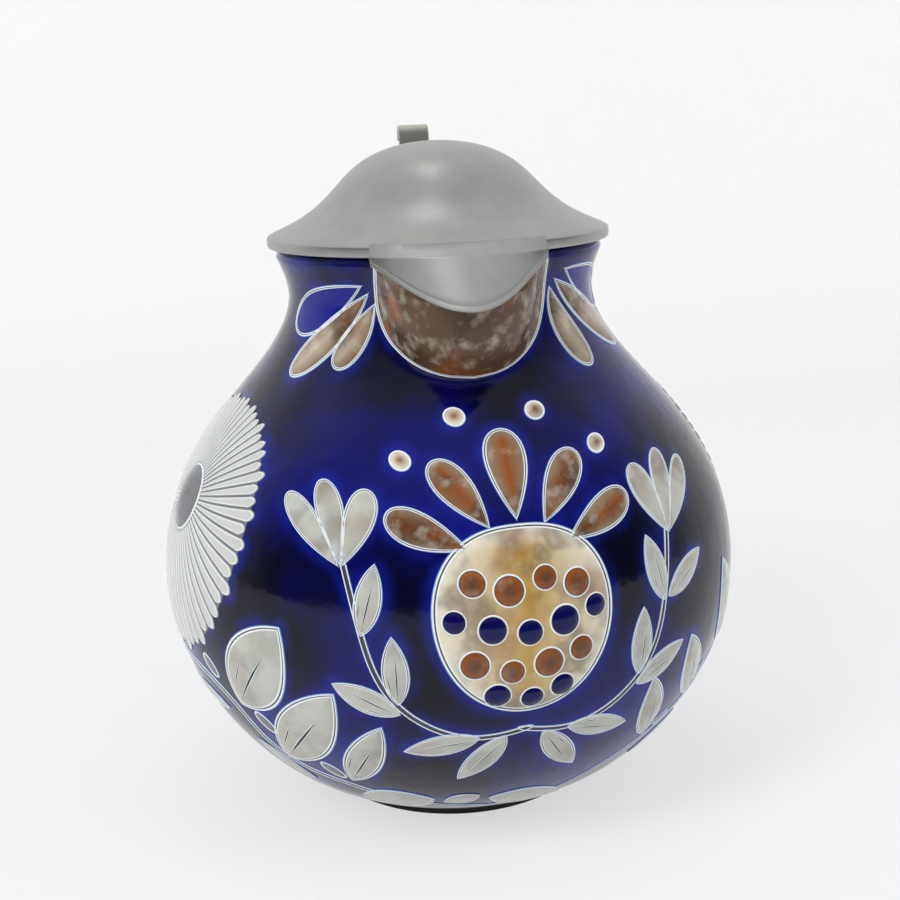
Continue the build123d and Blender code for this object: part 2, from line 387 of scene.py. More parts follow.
@dataclass
class PotForm:
    """The pot's outside, as a turn from the spout in degrees and a run up its outline.

    A positive turn goes towards +X. The outline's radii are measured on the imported
    body, and the spout is a cup that swells out of the front of the neck.
    """

    knot_heights: tuple[float, ...] = (
        0.0034, 0.012, 0.025, 0.040, 0.055, 0.069, 0.085, 0.100, 0.115, 0.130, 0.145, 0.159, 0.1703,
    )
    outline_points: int = 600
    rim_height: float = 0.1728
    wall: float = 0.005
    cup_reach: float = 0.048
    cup_wall: float = 0.0042
    cup_outline: tuple[Pair, ...] = ((0.0, 0.139), (0.012, 0.144), (0.0182, 0.155), (0.0208, 0.1732))
    cup_points: int = 200
    lip_top: float = 0.1724
    blend_width: float = 0.009
    settle_height: float = 0.148
    spout_start: float = 0.127
    spout_turn: float = 1.31
    probe_turns: tuple[float, ...] = (62.0, 71.0, 80.0, 89.0, 98.0, 107.0, 116.0)
    probe_start: float = 0.3
    search_reach: float = 0.05
    search_rounds: int = 26
    rim_rounds: int = 24
    outline: np.ndarray = field(init=False)
    inner: np.ndarray = field(init=False)
    runs: np.ndarray = field(init=False)
    cup: np.ndarray = field(init=False)

    def __post_init__(self) -> None:
        """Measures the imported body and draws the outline, the inside and the spout's cup."""
        tree = ray_tree(frame["nodes"]["jug_body"].data)
        knots = [(self._probe(tree, height), height) for height in self.knot_heights]
        self.outline = smooth_curve(knots, self.outline_points)
        self.inner = self.outline + turned_left(headings(self.outline)) * self.wall
        self.runs = runs_along(self.outline)
        self.cup = smooth_curve(self.cup_outline, self.cup_points)

    def _probe(self, tree: BVHTree, height: float) -> float:
        """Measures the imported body's outside radius with rays cast at its sides.

        Args:
            tree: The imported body.
            height: The height to measure at.

        Returns:
            The mean radius there.
        """
        found = []
        for turn in self.probe_turns:
            for side in (-1, 1):
                angle = math.radians(turn) * side
                out = Vector((math.sin(angle), -math.cos(angle), 0.0))
                hit = tree.ray_cast(out * self.probe_start + Vector((0, 0, height)), -out)[0]
                found.append(math.hypot(hit.x, hit.y))
        return sum(found) / len(found)

    @property
    def length(self) -> float:
        """The outline's length from the heel to the rim."""
        return float(self.runs[-1])

    def run_at(self, height: np.ndarray | float) -> np.ndarray:
        """The run up the outline at a height."""
        return np.interp(height, self.outline[:, 1], self.runs)

    def height_at(self, run: np.ndarray | float) -> np.ndarray:
        """The height at a run up the outline."""
        return np.interp(run, self.runs, self.outline[:, 1])

    def radius_at(self, height: np.ndarray | float) -> np.ndarray:
        """The neck's or belly's own radius at a height, without the spout."""
        return np.interp(height, self.outline[:, 1], self.outline[:, 0])

    def inner_radius_at(self, height: np.ndarray | float) -> np.ndarray:
        """The radius of the inside at a height, without the spout."""
        return np.interp(height, self.inner[:, 1], self.inner[:, 0])

    def offset(self, start: Sequence[float], end: Sequence[float]) -> Pair:
        """How far one place on the pot lies from another, over its surface.

        Args:
            start: The first place, as a turn in degrees and a height.
            end: The other place.

        Returns:
            How far across and how far up, in millimetres.
        """
        x = math.radians(end[0] - start[0]) * float(self.radius_at(end[1])) / MM
        y = float(self.run_at(end[1]) - self.run_at(start[1])) / MM
        return x, y

    def reach(
        self, turn: np.ndarray, height: np.ndarray, radius: np.ndarray, wall: float = 0.0
    ) -> np.ndarray:
        """How far the wall stands from the axis, with the spout's cup blended in.

        Args:
            turn: Turns from the spout, in radians.
            height: Heights.
            radius: The pot's own radii there.
            wall: How far the cup is drawn in.

        Returns:
            The distances from the axis.
        """
        cup = np.interp(height - wall / 2, self.cup[:, 1], self.cup[:, 0]) - wall
        low = radius.copy()
        high = radius + self.search_reach
        for _ in range(self.search_rounds):
            middle = (low + high) / 2
            to_pot = middle - radius
            to_cup = np.hypot(middle * np.sin(turn), self.cup_reach - middle * np.cos(turn)) - cup
            share = np.clip(self.blend_width - np.abs(to_pot - to_cup), 0, None) / self.blend_width
            gap = np.minimum(to_pot, to_cup) - share * share * self.blend_width / 4
            inside = gap < 0
            low = np.where(inside, middle, low)
            high = np.where(inside, high, middle)
        return (low + high) / 2

    def rim_at(self, turn: np.ndarray) -> np.ndarray:
        """The height of the rim, or of the lip in front.

        Args:
            turn: Turns from the spout, in radians.

        Returns:
            The heights.
        """
        height = np.full_like(turn, self.rim_height)
        for _ in range(self.rim_rounds):
            out = self.reach(turn, height, self.radius_at(height)) * np.cos(turn)
            lip = self.lip_top - (out - LIP_START) * LIP_SLOPE
            target = np.minimum(self.rim_height, lip)
            height = (height + target) / 2
        return height

    def settle(self, turn: np.ndarray, height: np.ndarray) -> np.ndarray:
        """Draws heights down towards the lip where the spout's rim is low.

        Args:
            turn: Turns from the spout, in radians.
            height: Heights as they would be on a neck without a spout.

        Returns:
            The heights with the spout.
        """
        share = (self.rim_at(turn) - self.settle_height) / (self.rim_height - self.settle_height)
        lowered = self.settle_height + (height - self.settle_height) * share
        return np.where(height > self.settle_height, lowered, height)

    def skin(self, turn: np.ndarray, run: np.ndarray) -> np.ndarray:
        """Finds points on the outside, and over the rim where a run goes past it.

        Args:
            turn: Turns from the spout, in radians.
            run: Runs up the outline.

        Returns:
            The places of the points.
        """
        over = np.clip((run - self.length) / (self.wall / 2), 0, math.pi)
        height = self.height_at(run) + self.wall / 2 * np.sin(over)
        drawn = (height > self.spout_start) & (np.abs(turn) < self.spout_turn)
        height[drawn] = self.settle(turn[drawn], height[drawn])
        out = self.radius_at(height)
        inner = self.inner_radius_at(height)
        out[drawn] = self.reach(turn[drawn], height[drawn], out[drawn])
        inner[drawn] = self.reach(turn[drawn], height[drawn], inner[drawn], self.cup_wall)
        share = (1 + np.cos(over)) / 2
        return round_axis(out * share + inner * (1 - share), turn, height)

    def lay(self, turn: np.ndarray, run: np.ndarray, lift: np.ndarray) -> np.ndarray:
        """Points over the outside.

        Args:
            turn: Turns from the spout, in radians.
            run: Runs up the outline.
            lift: How far each point stands off the surface.

        Returns:
            The places of the points.
        """
        step_turn = 0.004
        step_run = 0.0003
        across = self.skin(turn + step_turn, run) - self.skin(turn - step_turn, run)
        up = self.skin(turn, run + step_run) - self.skin(turn, run - step_run)
        return self.skin(turn, run) + unit_rows(np.cross(across, up)) * lift[:, None]


class Blade(Enum):
    """How a carved shape's width runs from its base to its tip."""

    DISC = "disc"
    PETAL = "petal"
    LEAF = "leaf"
    ALMOND = "almond"
    BAND = "band"
    RAY = "ray"
    FRUIT = "fruit"
    BIB = "bib"

    def half_width(self, share: np.ndarray) -> np.ndarray:
        """The half width along a shape, where the widest is 1.

        The numbers that a width is divided by are about the greatest that it would reach.

        Args:
            share: Shares of the length, from the base at 0 to the tip at 1.

        Returns:
            The half widths there.
        """
        rest = 1 - share
        if self is Blade.DISC:
            width = 2 * np.sqrt(share * rest)
        elif self is Blade.PETAL:
            width = share * np.sqrt(rest) / 0.385
        elif self is Blade.LEAF:
            width = share**0.75 * rest**0.85 / 0.331
        elif self is Blade.ALMOND:
            width = (share * rest) ** 0.8 / 0.33
        elif self is Blade.BAND:
            width = np.minimum(1, np.sqrt(np.clip(share * rest, 0, None)) * 7)
        elif self is Blade.RAY:
            width = (0.24 + 0.76 * share) * np.minimum(1, np.sqrt(rest * 16)) * np.minimum(1, share * 20)
        elif self is Blade.FRUIT:
            width = share**0.5 * rest**0.42 / 0.53
        else:
            width = np.interp(share, BIB_SHARES, BIB_WIDTHS)
        return width


BIB_SHARES = np.linspace(0, 1, 41)
BIB_WIDTHS = np.minimum(1, (1 - (1 - np.minimum(BIB_SHARES / 0.62, 1)) ** 2.1) ** 0.52)


@dataclass(frozen=True)
class Line:
    """One line of a carved edge: how far in it runs, how high, and its glaze."""

    inset: float
    lift: float
    glaze: Glaze
    ground: float = 0.0
    mottle: float = 0.0


def drawn_in(scale: float, lines: Sequence[Line]) -> tuple[Line, ...]:
    """The lines of a carved edge with their insets scaled."""
    return tuple(replace(line, inset=line.inset * scale) for line in lines)


def double_line(scale: float, fill: Glaze, mottle: float, rise: float = 0.3) -> tuple[Line, ...]:
    """The carved double outline with a pale rim, a dark groove and a pale inner line.

    Args:
        scale: How wide the outline is, against the widest one.
        fill: The glaze inside it.
        mottle: How mottled that glaze is.
        rise: How high the inside stands, in millimetres.

    Returns:
        The lines from the outside in.
    """
    return drawn_in(scale, (
        Line(0.0, -0.35, Glaze.COBALT, 1.0),
        Line(0.35, -0.02, Glaze.COBALT, 1.0),
        Line(0.75, 0.14, Glaze.SKY, 0.25),
        Line(1.05, 0.34, Glaze.CHALK),
        Line(1.4, 0.34, Glaze.CHALK),
        Line(1.65, 0.02, Glaze.SLATE),
        Line(1.95, 0.02, Glaze.SLATE),
        Line(2.2, 0.3, Glaze.CHALK),
        Line(2.5, 0.3, Glaze.CHALK),
        Line(2.95, rise * 0.75, fill, 0.0, mottle),
        Line(3.5, rise, fill, 0.0, mottle),
    ))


def single_line(scale: float, fill: Glaze, mottle: float) -> tuple[Line, ...]:
    """A single pale outline round a glazed inside.

    Args:
        scale: How wide the outline is, against the widest one.
        fill: The glaze inside it.
        mottle: How mottled that glaze is.

    Returns:
        The lines from the outside in.
    """
    return drawn_in(scale, (
        Line(0.0, -0.3, Glaze.COBALT, 1.0),
        Line(0.35, 0.0, Glaze.SKY, 0.6),
        Line(0.7, 0.3, Glaze.CHALK),
        Line(1.1, 0.3, Glaze.CHALK),
        Line(1.5, 0.1, fill, 0.0, mottle),
        Line(2.0, 0.25, fill, 0.0, mottle),
    ))


def inlaid(scale: float, fill: Glaze, mottle: float, edge: Glaze, rise: float) -> tuple[Line, ...]:
    """The outline of a spot that stands on another glaze, with a thin pale ring and a dark groove.

    Args:
        scale: How wide the outline is, against the widest one.
        fill: The glaze inside it.
        mottle: How mottled that glaze is.
        edge: The glaze that it stands on.
        rise: How high the inside stands, in millimetres.

    Returns:
        The lines from the outside in.
    """
    return drawn_in(scale, (
        Line(0.0, -0.25, edge),
        Line(0.3, 0.12, Glaze.CHALK),
        Line(0.6, 0.22, Glaze.CHALK),
        Line(0.85, 0.04, Glaze.SLATE),
        Line(1.2, 0.1, fill, 0.0, mottle),
        Line(1.8, rise, fill, 0.0, mottle),
    ))


@dataclass(frozen=True)
class Motif:
    """A flat carved shape with its lines, drawn once and laid on the pot many times.

    Lengths are in millimetres. The axis runs from the base at the origin to the tip.
    """

    name: str
    length: float
    width: float
    blade: Blade
    lines: tuple[Line, ...]
    crown: float = 0.4
    heart: Glaze | None = None
    axis: tuple[Pair, ...] = ()
    steps: int = 22
    fill_rings: int = 4
    core: float = 0.16

    def _axis(self, share: np.ndarray) -> np.ndarray:
        """Finds points along the axis.

        Args:
            share: Shares of its length.

        Returns:
            The points, one a row.
        """
        if not self.axis:
            return np.stack([np.zeros_like(share), share * self.length], axis=1)
        curve = smooth_curve(self.axis, 200)
        places = np.linspace(0, 1, len(curve))
        return np.stack([np.interp(share, places, curve[:, i]) for i in (0, 1)], axis=1)

    def model(self) -> bpy.types.Object:
        """Models the flat shape, with its glazes painted on its points.

        Returns:
            The new piece, in millimetres, with its lift as its third coordinate.
        """
        nudge = 0.005
        room = 0.92
        least_facing = 0.3
        share = (1 - np.cos(np.linspace(0, math.pi, self.steps + 1))) / 2
        middle = self._axis(share)
        ahead = self._axis(np.clip(share + nudge, 0, 1)) - self._axis(np.clip(share - nudge, 0, 1))
        sideways = turned_left(unit_rows(ahead))
        half = (self.blade.half_width(share) * self.width / 2)[:, None]
        right = middle - sideways * half
        left = middle + sideways * half
        edge = np.concatenate([right, left[-2:0:-1]])
        core = 0.5 if self.blade is Blade.DISC else self.core
        inner = self._axis(np.clip(share, core, 1 - core))
        spine = np.concatenate([inner, inner[-2:0:-1]])
        inward = spine - edge
        gap = np.linalg.norm(inward, axis=1)[:, None]
        inward /= gap
        along = unit_rows(np.roll(edge, -1, axis=0) - np.roll(edge, 1, axis=0))
        facing = np.abs(along[:, 0] * inward[:, 1] - along[:, 1] * inward[:, 0])
        facing = np.clip(facing, least_facing, 1)[:, None]
        rings = []
        for line in self.lines:
            depth = gap * room * (1 - np.exp(-line.inset / (facing * gap * room)))
            rings.append(np.hstack([edge + inward * depth, np.full_like(gap, line.lift)]))
        last = rings[-1]
        for number in range(1, self.fill_rings + 1):
            part = number / self.fill_rings
            flat = last[:, :2] * (1 - part) + spine * part
            lift = last[:, 2:] + self.crown * (1 - (1 - part) ** 2)
            rings.append(np.hstack([flat, lift]))
        piece = draw_rings(self.name, rings)
        self._glaze(piece)
        turn_outwards(piece)
        return piece

    def _glaze(self, piece: bpy.types.Object) -> None:
        """Paints each ring of points with its line's glaze, and the inside towards its heart.

        Args:
            piece: The drawn shape.
        """
        inside = self.lines[-1]
        lines = [*self.lines, *[inside] * self.fill_rings]
        tints = np.array([line.glaze.value for line in lines])
        if self.heart is not None:
            for number in range(1, self.fill_rings + 1):
                part = (number / self.fill_rings) ** 0.85
                blend = np.array(inside.glaze.value) * (1 - part) + np.array(self.heart.value) * part
                tints[len(self.lines) + number - 1] = blend
        ring = read_rings(piece)
        ground = np.array([line.ground for line in lines])[ring]
        mottle = np.array([line.mottle for line in lines])[ring]
        paint_glaze(piece, 1.0, tint=tints[ring], ground=ground, mottle=mottle)


@dataclass(frozen=True)
class Spot:
    """Where a carved shape lies on the pot.

    The turn, in degrees, and the height are those of the layout's origin. The shape's base
    lies at the shift from there, in millimetres across and up, and it leans clockwise
    from upright by an angle in degrees. It is swollen all ways, and stretched across.
    """

    turn: float
    height: float
    lean: float = 0.0
    shift: Pair = (0.0, 0.0)
    swell: float = 1.0
    stretch: float = 1.0

    def spread(self, flat: np.ndarray) -> np.ndarray:
        """Puts flat points of a shape in the layout's own frame.

        Args:
            flat: The shape's points, in millimetres, one a row.

        Returns:
            The points across and up from the layout's origin.
        """
        across = flat[:, 0] * self.swell * self.stretch
        up = flat[:, 1] * self.swell
        angle = math.radians(self.lean)
        x = across * math.cos(angle) + up * math.sin(angle) + self.shift[0]
        y = up * math.cos(angle) - across * math.sin(angle) + self.shift[1]
        return np.stack([x, y], axis=1)

    def gather(self, spread: np.ndarray) -> np.ndarray:
        """Puts points of the layout's frame back in the shape's own, the reverse of spread.

        Args:
            spread: Points across and up from the layout's origin, one a row.

        Returns:
            The flat points of the shape.
        """
        x = spread[:, 0] - self.shift[0]
        y = spread[:, 1] - self.shift[1]
        angle = math.radians(self.lean)
        across = x * math.cos(angle) - y * math.sin(angle)
        up = x * math.sin(angle) + y * math.cos(angle)
        return np.stack([across / (self.swell * self.stretch), up / self.swell], axis=1)


@dataclass
class Ornament:
    """A group of carved shapes that is laid on the pot and joined into one piece."""

    form: PotForm
    name: str
    stock: dict[Motif, bpy.types.Object] = field(default_factory=dict)
    beds: dict[Motif, BVHTree] = field(default_factory=dict)
    copies: list[bpy.types.Object] = field(default_factory=list)
    edges: list[np.ndarray] = field(default_factory=list)

    def spot_between(self, motif: Motif, base: Pair, tip: Pair, stretch: float = 1.0) -> Spot:
        """The spot of a shape whose base and tip are given as turns in degrees and heights.

        Args:
            motif: The shape.
            base: Where its base lies.
            tip: Where its tip lies.
            stretch: How much wider than its own shape it is.

        Returns:
            The spot, with the shape swollen to reach from one to the other.
        """
        x, y = self.form.offset(base, tip)
        swell = math.hypot(x, y) / motif.length
        return Spot(base[0], base[1], math.degrees(math.atan2(x, y)), (0.0, 0.0), swell, stretch)

    def lay(
        self, motif: Motif, spot: Spot, rise: float = 0.0, bed: tuple[Motif, Spot] | None = None
    ) -> None:
        """Lays one copy of a motif on the pot.

        Args:
            motif: The shape to copy.
            spot: Where it lies.
            rise: How far it stands over what is under it, in millimetres.
            bed: The carved shape that it lies on, with the same origin, or nothing for bare glaze.
        """
        if motif not in self.stock:
            self.stock[motif] = motif.model()
        source = self.stock[motif]
        copy = source.copy()
        copy.data = source.data.copy()
        bpy.context.collection.objects.link(copy)
        flat = read_points(source)
        spread = spot.spread(flat)
        lift = flat[:, 2] + rise
        if bed is not None:
            lift = lift + self._bed_lift(bed[0], bed[1].gather(spread))
        run = self.form.run_at(spot.height) + spread[:, 1] * MM
        ring = self.form.radius_at(self.form.height_at(run))
        turn = math.radians(spot.turn) + spread[:, 0] * MM / ring
        write_points(copy, self.form.lay(turn, run, lift * MM))
        self.copies.append(copy)
        if bed is None:
            self.edges.append(read_points(copy)[read_rings(source) == 1])

    def _bed_lift(self, motif: Motif, flat: np.ndarray) -> np.ndarray:
        """Finds how high a carved shape stands.

        Args:
            motif: The shape.
            flat: Flat points of its own, one a row.

        Returns:
            Its lift at each of them, in millimetres, and 0 beside it.
        """
        if motif not in self.beds:
            self.beds[motif] = ray_tree(self.stock[motif].data)
        above = 10.0
        lifts = np.zeros(len(flat))
        for index, (x, y) in enumerate(flat):
            hit = self.beds[motif].ray_cast(Vector((x, y, above)), Vector((0, 0, -1)))[0]
            lifts[index] = hit.z if hit is not None else 0.0
        return lifts

    def finish(self, material: bpy.types.Material) -> bpy.types.Object:
        """Joins the copies into one glazed piece and clears the stock.

        Args:
            material: The glaze that reads the painted points.

        Returns:
            The finished piece, riding on the jug.
        """
        bpy.ops.object.select_all(action="DESELECT")
        for copy in self.copies:
            copy.select_set(True)
        piece = self.copies[0]
        bpy.context.view_layer.objects.active = piece
        bpy.ops.object.join()
        piece.name = self.name
        piece.data.name = self.name
        for source in self.stock.values():
            bpy.data.objects.remove(source)
        piece.data.materials.clear()
        piece.data.materials.append(material)
        smooth(piece, 80.0)
        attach(piece, JUG)
        log.info("%s: %d shapes, %d faces", self.name, len(self.copies), len(piece.data.polygons))
        return piece


@dataclass
class NodeSheet:
    """The nodes of a material, a world or a group, added and joined in code."""

    tree: bpy.types.NodeTree

    def feed(self, node: bpy.types.Node, feeds: dict) -> None:
        """Fills a node's sockets.

        Args:
            node: The node.
            feeds: What goes into its sockets, each a value or another node's output.
        """
        for socket, value in feeds.items():
            if isinstance(value, Socket):
                self.tree.links.new(value, node.inputs[socket])
            else:
                node.inputs[socket].default_value = value

    def add(self, kind: str, feeds: dict | None = None, **settings: object) -> bpy.types.Node:
        """Adds a node.

        Args:
            kind: The node's type.
            feeds: What goes into its sockets, each a value or another node's output.
            settings: Its other settings by name.

        Returns:
            The new node.
        """
        node = self.tree.nodes.new(kind)
        for name, value in settings.items():
            setattr(node, name, value)
        self.feed(node, feeds or {})
        return node

    def place(self) -> Socket:
        """The place on the piece, in metres."""
        return self.add("ShaderNodeTexCoord").outputs["Object"]

    def painted(self, name: str, output: str = "Fac") -> Socket:
        """What is painted on the piece's points under a name."""
        return self.add("ShaderNodeAttribute", attribute_name=name).outputs[output]

    def noise(self, place: Socket, scale: float, detail: float = 2.0) -> Socket:
        """Smooth noise from 0 to 1 at a scale, in waves a metre."""
        feeds = {"Vector": place, "Scale": scale, "Detail": detail, "Roughness": 0.55}
        return self.add("ShaderNodeTexNoise", feeds).outputs["Fac"]

    def span(
        self, value: Socket, low: float, high: float, to_low: float = 0.0, to_high: float = 1.0
    ) -> Socket:
        """Stretches a value from one span to another, held at its ends."""
        feeds = {"Value": value, "From Min": low, "From Max": high, "To Min": to_low, "To Max": to_high}
        return self.add("ShaderNodeMapRange", feeds, interpolation_type="SMOOTHSTEP").outputs["Result"]

    def times(self, first: Socket, second: Socket | float) -> Socket:
        """The product of two values."""
        return self.add("ShaderNodeMath", {0: first, 1: second}, operation="MULTIPLY").outputs[0]

    def plus(self, first: Socket, second: Socket | float) -> Socket:
        """The sum of two values."""
        return self.add("ShaderNodeMath", {0: first, 1: second}, operation="ADD").outputs[0]

    def at_most(self, first: Socket, second: float) -> Socket:
        """A value, held at a greatest one."""
        return self.add("ShaderNodeMath", {0: first, 1: second}, operation="MINIMUM").outputs[0]

    def mix(self, share: Socket | float, first: Socket | Colour, second: Socket | Colour) -> Socket:
        """Mixes two colours by a share."""
        feeds = {0: share, 6: first, 7: second}
        return self.add("ShaderNodeMix", feeds, data_type="RGBA").outputs[2]


def blank_material(name: str) -> tuple[bpy.types.Material, NodeSheet, bpy.types.Node]:
    """Makes a material to fill.

    Args:
        name: Its name.

    Returns:
        The material, its sheet of nodes and its Principled shader.
    """
    material = bpy.data.materials.new(name)
    material.use_nodes = True
    return material, NodeSheet(material.node_tree), material.node_tree.nodes["Principled BSDF"]


def speckle_group() -> bpy.types.NodeTree:
    """Fine specks and soft clouds on Object coordinates, used by the glaze and the metals.

    Returns:
        The node group, built once.
    """
    name = "specks_and_clouds"
    if name in bpy.data.node_groups:
        return bpy.data.node_groups[name]
    tree = bpy.data.node_groups.new(name, "ShaderNodeTree")
    for socket, way in (
        ("Speck Scale", "INPUT"), ("Cloud Scale", "INPUT"), ("Specks", "OUTPUT"), ("Clouds", "OUTPUT"),
    ):
        tree.interface.new_socket(socket, in_out=way, socket_type="NodeSocketFloat")
    sheet = NodeSheet(tree)
    scales = sheet.add("NodeGroupInput").outputs
    place = sheet.place()
    made = {}
    for output, scale, detail in (("Specks", "Speck Scale", 3.0), ("Clouds", "Cloud Scale", 2.0)):
        feeds = {"Vector": place, "Scale": scales[scale], "Detail": detail}
        made[output] = sheet.add("ShaderNodeTexNoise", feeds).outputs["Fac"]
    sheet.add("NodeGroupOutput", made)
    return tree


def add_speckle(sheet: NodeSheet, speck_scale: float, cloud_scale: float) -> tuple[Socket, Socket]:
    """Places the specks and clouds in a material.

    Args:
        sheet: The material's nodes.
        speck_scale: The scale of the specks, in waves a metre.
        cloud_scale: The scale of the clouds.

    Returns:
        The specks and the clouds.
    """
    feeds = {"Speck Scale": speck_scale, "Cloud Scale": cloud_scale}
    made = sheet.add("ShaderNodeGroup", feeds, node_tree=speckle_group()).outputs
    return made["Specks"], made["Clouds"]


@dataclass(frozen=True)
class GlazeFinish:
    """Glossy salt-glazed stoneware: pooled cobalt ground and mottled carved fields.

    Scales are in waves a metre. A span holds the noise that counts as none and as full,
    and then, where it has four numbers, what those two are stretched to.
    """

    navy: Colour = linear(6, 6, 28)
    cobalt: Colour = linear(10, 9, 92)
    bright: Colour = linear(24, 40, 158)
    fleck: Colour = linear(226, 218, 196)
    stain: Colour = linear(62, 44, 32)
    rust: Colour = linear(124, 72, 34)
    # Near-black foot colour: bare clay darkened as a painted shade under the jug.
    foot: Colour = linear(22, 20, 24)
    gloss: float = 0.09
    gloss_change: float = 0.05
    refraction: float = 1.36
    foot_roughness: float = 0.55
    ripple: float = 0.00022
    pit_share: float = 0.06
    cloud_scale: float = 17.0
    pool_scale: float = 75.0
    rust_scale: float = 62.0
    stain_scale: float = 105.0
    fleck_scale: float = 210.0
    wave_scale: float = 95.0
    pit_scale: float = 620.0
    sheen_scale: float = 40.0
    cloud_span: tuple[float, ...] = (0.43, 0.66)
    pool_span: tuple[float, ...] = (0.35, 0.65, 0.1, 0.7)
    rust_span: tuple[float, ...] = (0.45, 0.66, 0.0, 0.75)
    stain_span: tuple[float, ...] = (0.44, 0.64, 0.0, 0.75)
    fleck_span: tuple[float, ...] = (0.46, 0.8, 0.0, 0.4)
    sheen_span: tuple[float, ...] = (0.3, 0.7)

    def build(self) -> bpy.types.Material:
        """Makes the glaze, which reads the points' tint, ground, mottle, glow (with a painted rim highlight)
        and the foot's mask, painted near-black as bare clay in shade.

        Returns:
            The material.
        """
        material, sheet, shader = blank_material("cobalt_glaze")
        place = sheet.place()
        mottle = sheet.painted("mottle")
        bare = sheet.painted("bare")
        cloud = sheet.span(sheet.noise(place, self.cloud_scale, 3.0), *self.cloud_span)
        base = sheet.mix(cloud, self.navy, self.cobalt)
        pooled = sheet.span(sheet.noise(place, self.pool_scale), *self.pool_span)
        base = sheet.mix(sheet.times(sheet.painted("glow"), pooled), base, self.bright)
        specks, clouds = add_speckle(sheet, self.fleck_scale, self.stain_scale)
        carved = sheet.painted("tint", "Color")
        for marks, span, colour in (
            (sheet.noise(place, self.rust_scale), self.rust_span, self.rust),
            (clouds, self.stain_span, self.stain),
            (specks, self.fleck_span, self.fleck),
        ):
            carved = sheet.mix(sheet.times(mottle, sheet.span(marks, *span)), carved, colour)
        colour = sheet.mix(sheet.painted("ground"), carved, base)
        pits = sheet.times(sheet.noise(place, self.pit_scale, 1.0), self.pit_share)
        height = sheet.plus(sheet.noise(place, self.wave_scale), pits)
        bump = sheet.add("ShaderNodeBump", {"Height": height, "Distance": self.ripple, "Strength": 1.0})
        sheen = sheet.noise(place, self.sheen_scale)
        rough = sheet.span(sheen, *self.sheen_span, self.gloss, self.gloss + self.gloss_change)
        sheet.feed(shader, {
            # The foot's mask paints it near-black: bare clay with a painted shade under the jug.
            "Base Color": sheet.mix(bare, colour, self.foot),
            "Roughness": sheet.plus(rough, sheet.times(bare, self.foot_roughness)),
            "Normal": bump.outputs["Normal"],
            "IOR": self.refraction,
        })
        return material


@dataclass(frozen=True)
class MetalFinish:
    """Satin cast pewter or dull wire, with a fine grain and soft clouds of wear.

    Scales are in waves a metre. A span holds the noise that counts as none and as full,
    and then, where it has four numbers, what those two are stretched to.
    """

    name: str
    dark: Colour
    light: Colour
    roughness: float
    grain: float = 0.00002
    grain_strength: float = 0.9
    grain_roughness: float = 0.25
    wear_roughness: float = 0.02
    grain_scale: float = 1500.0
    wear_scale: float = 110.0
    grain_span: tuple[float, ...] = (0.35, 0.65, -0.12, 0.12)
    wear_span: tuple[float, ...] = (0.3, 0.7)

    def build(self) -> bpy.types.Material:
        """Makes the metal.

        Returns:
            The material.
        """
        material, sheet, shader = blank_material(self.name)
        specks, clouds = add_speckle(sheet, self.grain_scale, self.wear_scale)
        fine = sheet.span(specks, *self.grain_span)
        share = sheet.plus(sheet.span(clouds, *self.wear_span), fine)
        worn = sheet.span(clouds, *self.wear_span, -self.wear_roughness, self.wear_roughness)
        rough = sheet.plus(sheet.plus(worn, self.roughness), sheet.times(fine, self.grain_roughness))
        feeds = {"Height": specks, "Distance": self.grain, "Strength": self.grain_strength}
        sheet.feed(shader, {
            "Base Color": sheet.mix(share, self.dark, self.light),
            "Roughness": rough,
            "Normal": sheet.add("ShaderNodeBump", feeds).outputs["Normal"],
            "Metallic": 1.0,
        })
        return material


PEWTER = MetalFinish("satin_pewter", linear(164, 164, 162), linear(174, 173, 170), 0.40)
WORN = MetalFinish("worn_pewter", linear(202, 202, 192), linear(212, 211, 202), 0.6)
STEEL = MetalFinish("dull_wire", linear(150, 150, 152), linear(172, 172, 172), 0.36)


@dataclass(frozen=True)
class SweepFinish:
    """The pale sheet that the jug stands on, bright to the camera and clear from its back."""

    colour: Colour = (0.9, 0.9, 0.905, 1.0)
    # The camera sees the floor darker than the wall above it: a painted shade of the floor.
    shown: Colour = (0.872, 0.872, 0.880, 1.0)
    lit_wall_shown: Colour = (0.945, 0.945, 0.95, 1.0)
    floor_shade_height: float = 0.12
    share: float = 0.72
    roughness: float = 0.9

    def build(self) -> bpy.types.Material:
        """Makes the sheet's finish.

        Returns:
            The material.
        """
        material, sheet, shader = blank_material("pale_sweep")
        sheet.feed(shader, {"Base Color": self.colour, "Roughness": self.roughness})
        ray = sheet.add("ShaderNodeLightPath").outputs
        seen = sheet.plus(ray["Is Camera Ray"], ray["Is Glossy Ray"])
        seen = sheet.at_most(sheet.plus(seen, ray["Is Transmission Ray"]), 1.0)
        up = sheet.add("ShaderNodeSeparateXYZ", {0: sheet.place()}).outputs["Z"]
        # Painted shade: the sheet is shown darker at the floor and brighter up the wall.
        shown = sheet.mix(sheet.span(up, 0.0, self.floor_shade_height), self.shown, self.lit_wall_shown)
        glow = sheet.add("ShaderNodeEmission", {"Color": shown, "Strength": 1.0}).outputs[0]
        feeds = {0: sheet.times(seen, self.share), 1: shader.outputs[0], 2: glow}
        front = sheet.add("ShaderNodeMixShader", feeds).outputs[0]
        back = sheet.add("ShaderNodeNewGeometry").outputs["Backfacing"]
        clear = sheet.add("ShaderNodeBsdfTransparent").outputs[0]
        feeds = {0: sheet.times(back, ray["Is Camera Ray"]), 1: front, 2: clear}
        whole = sheet.add("ShaderNodeMixShader", feeds).outputs[0]
        sheet.feed(material.node_tree.nodes["Material Output"], {"Surface": whole})
        return material


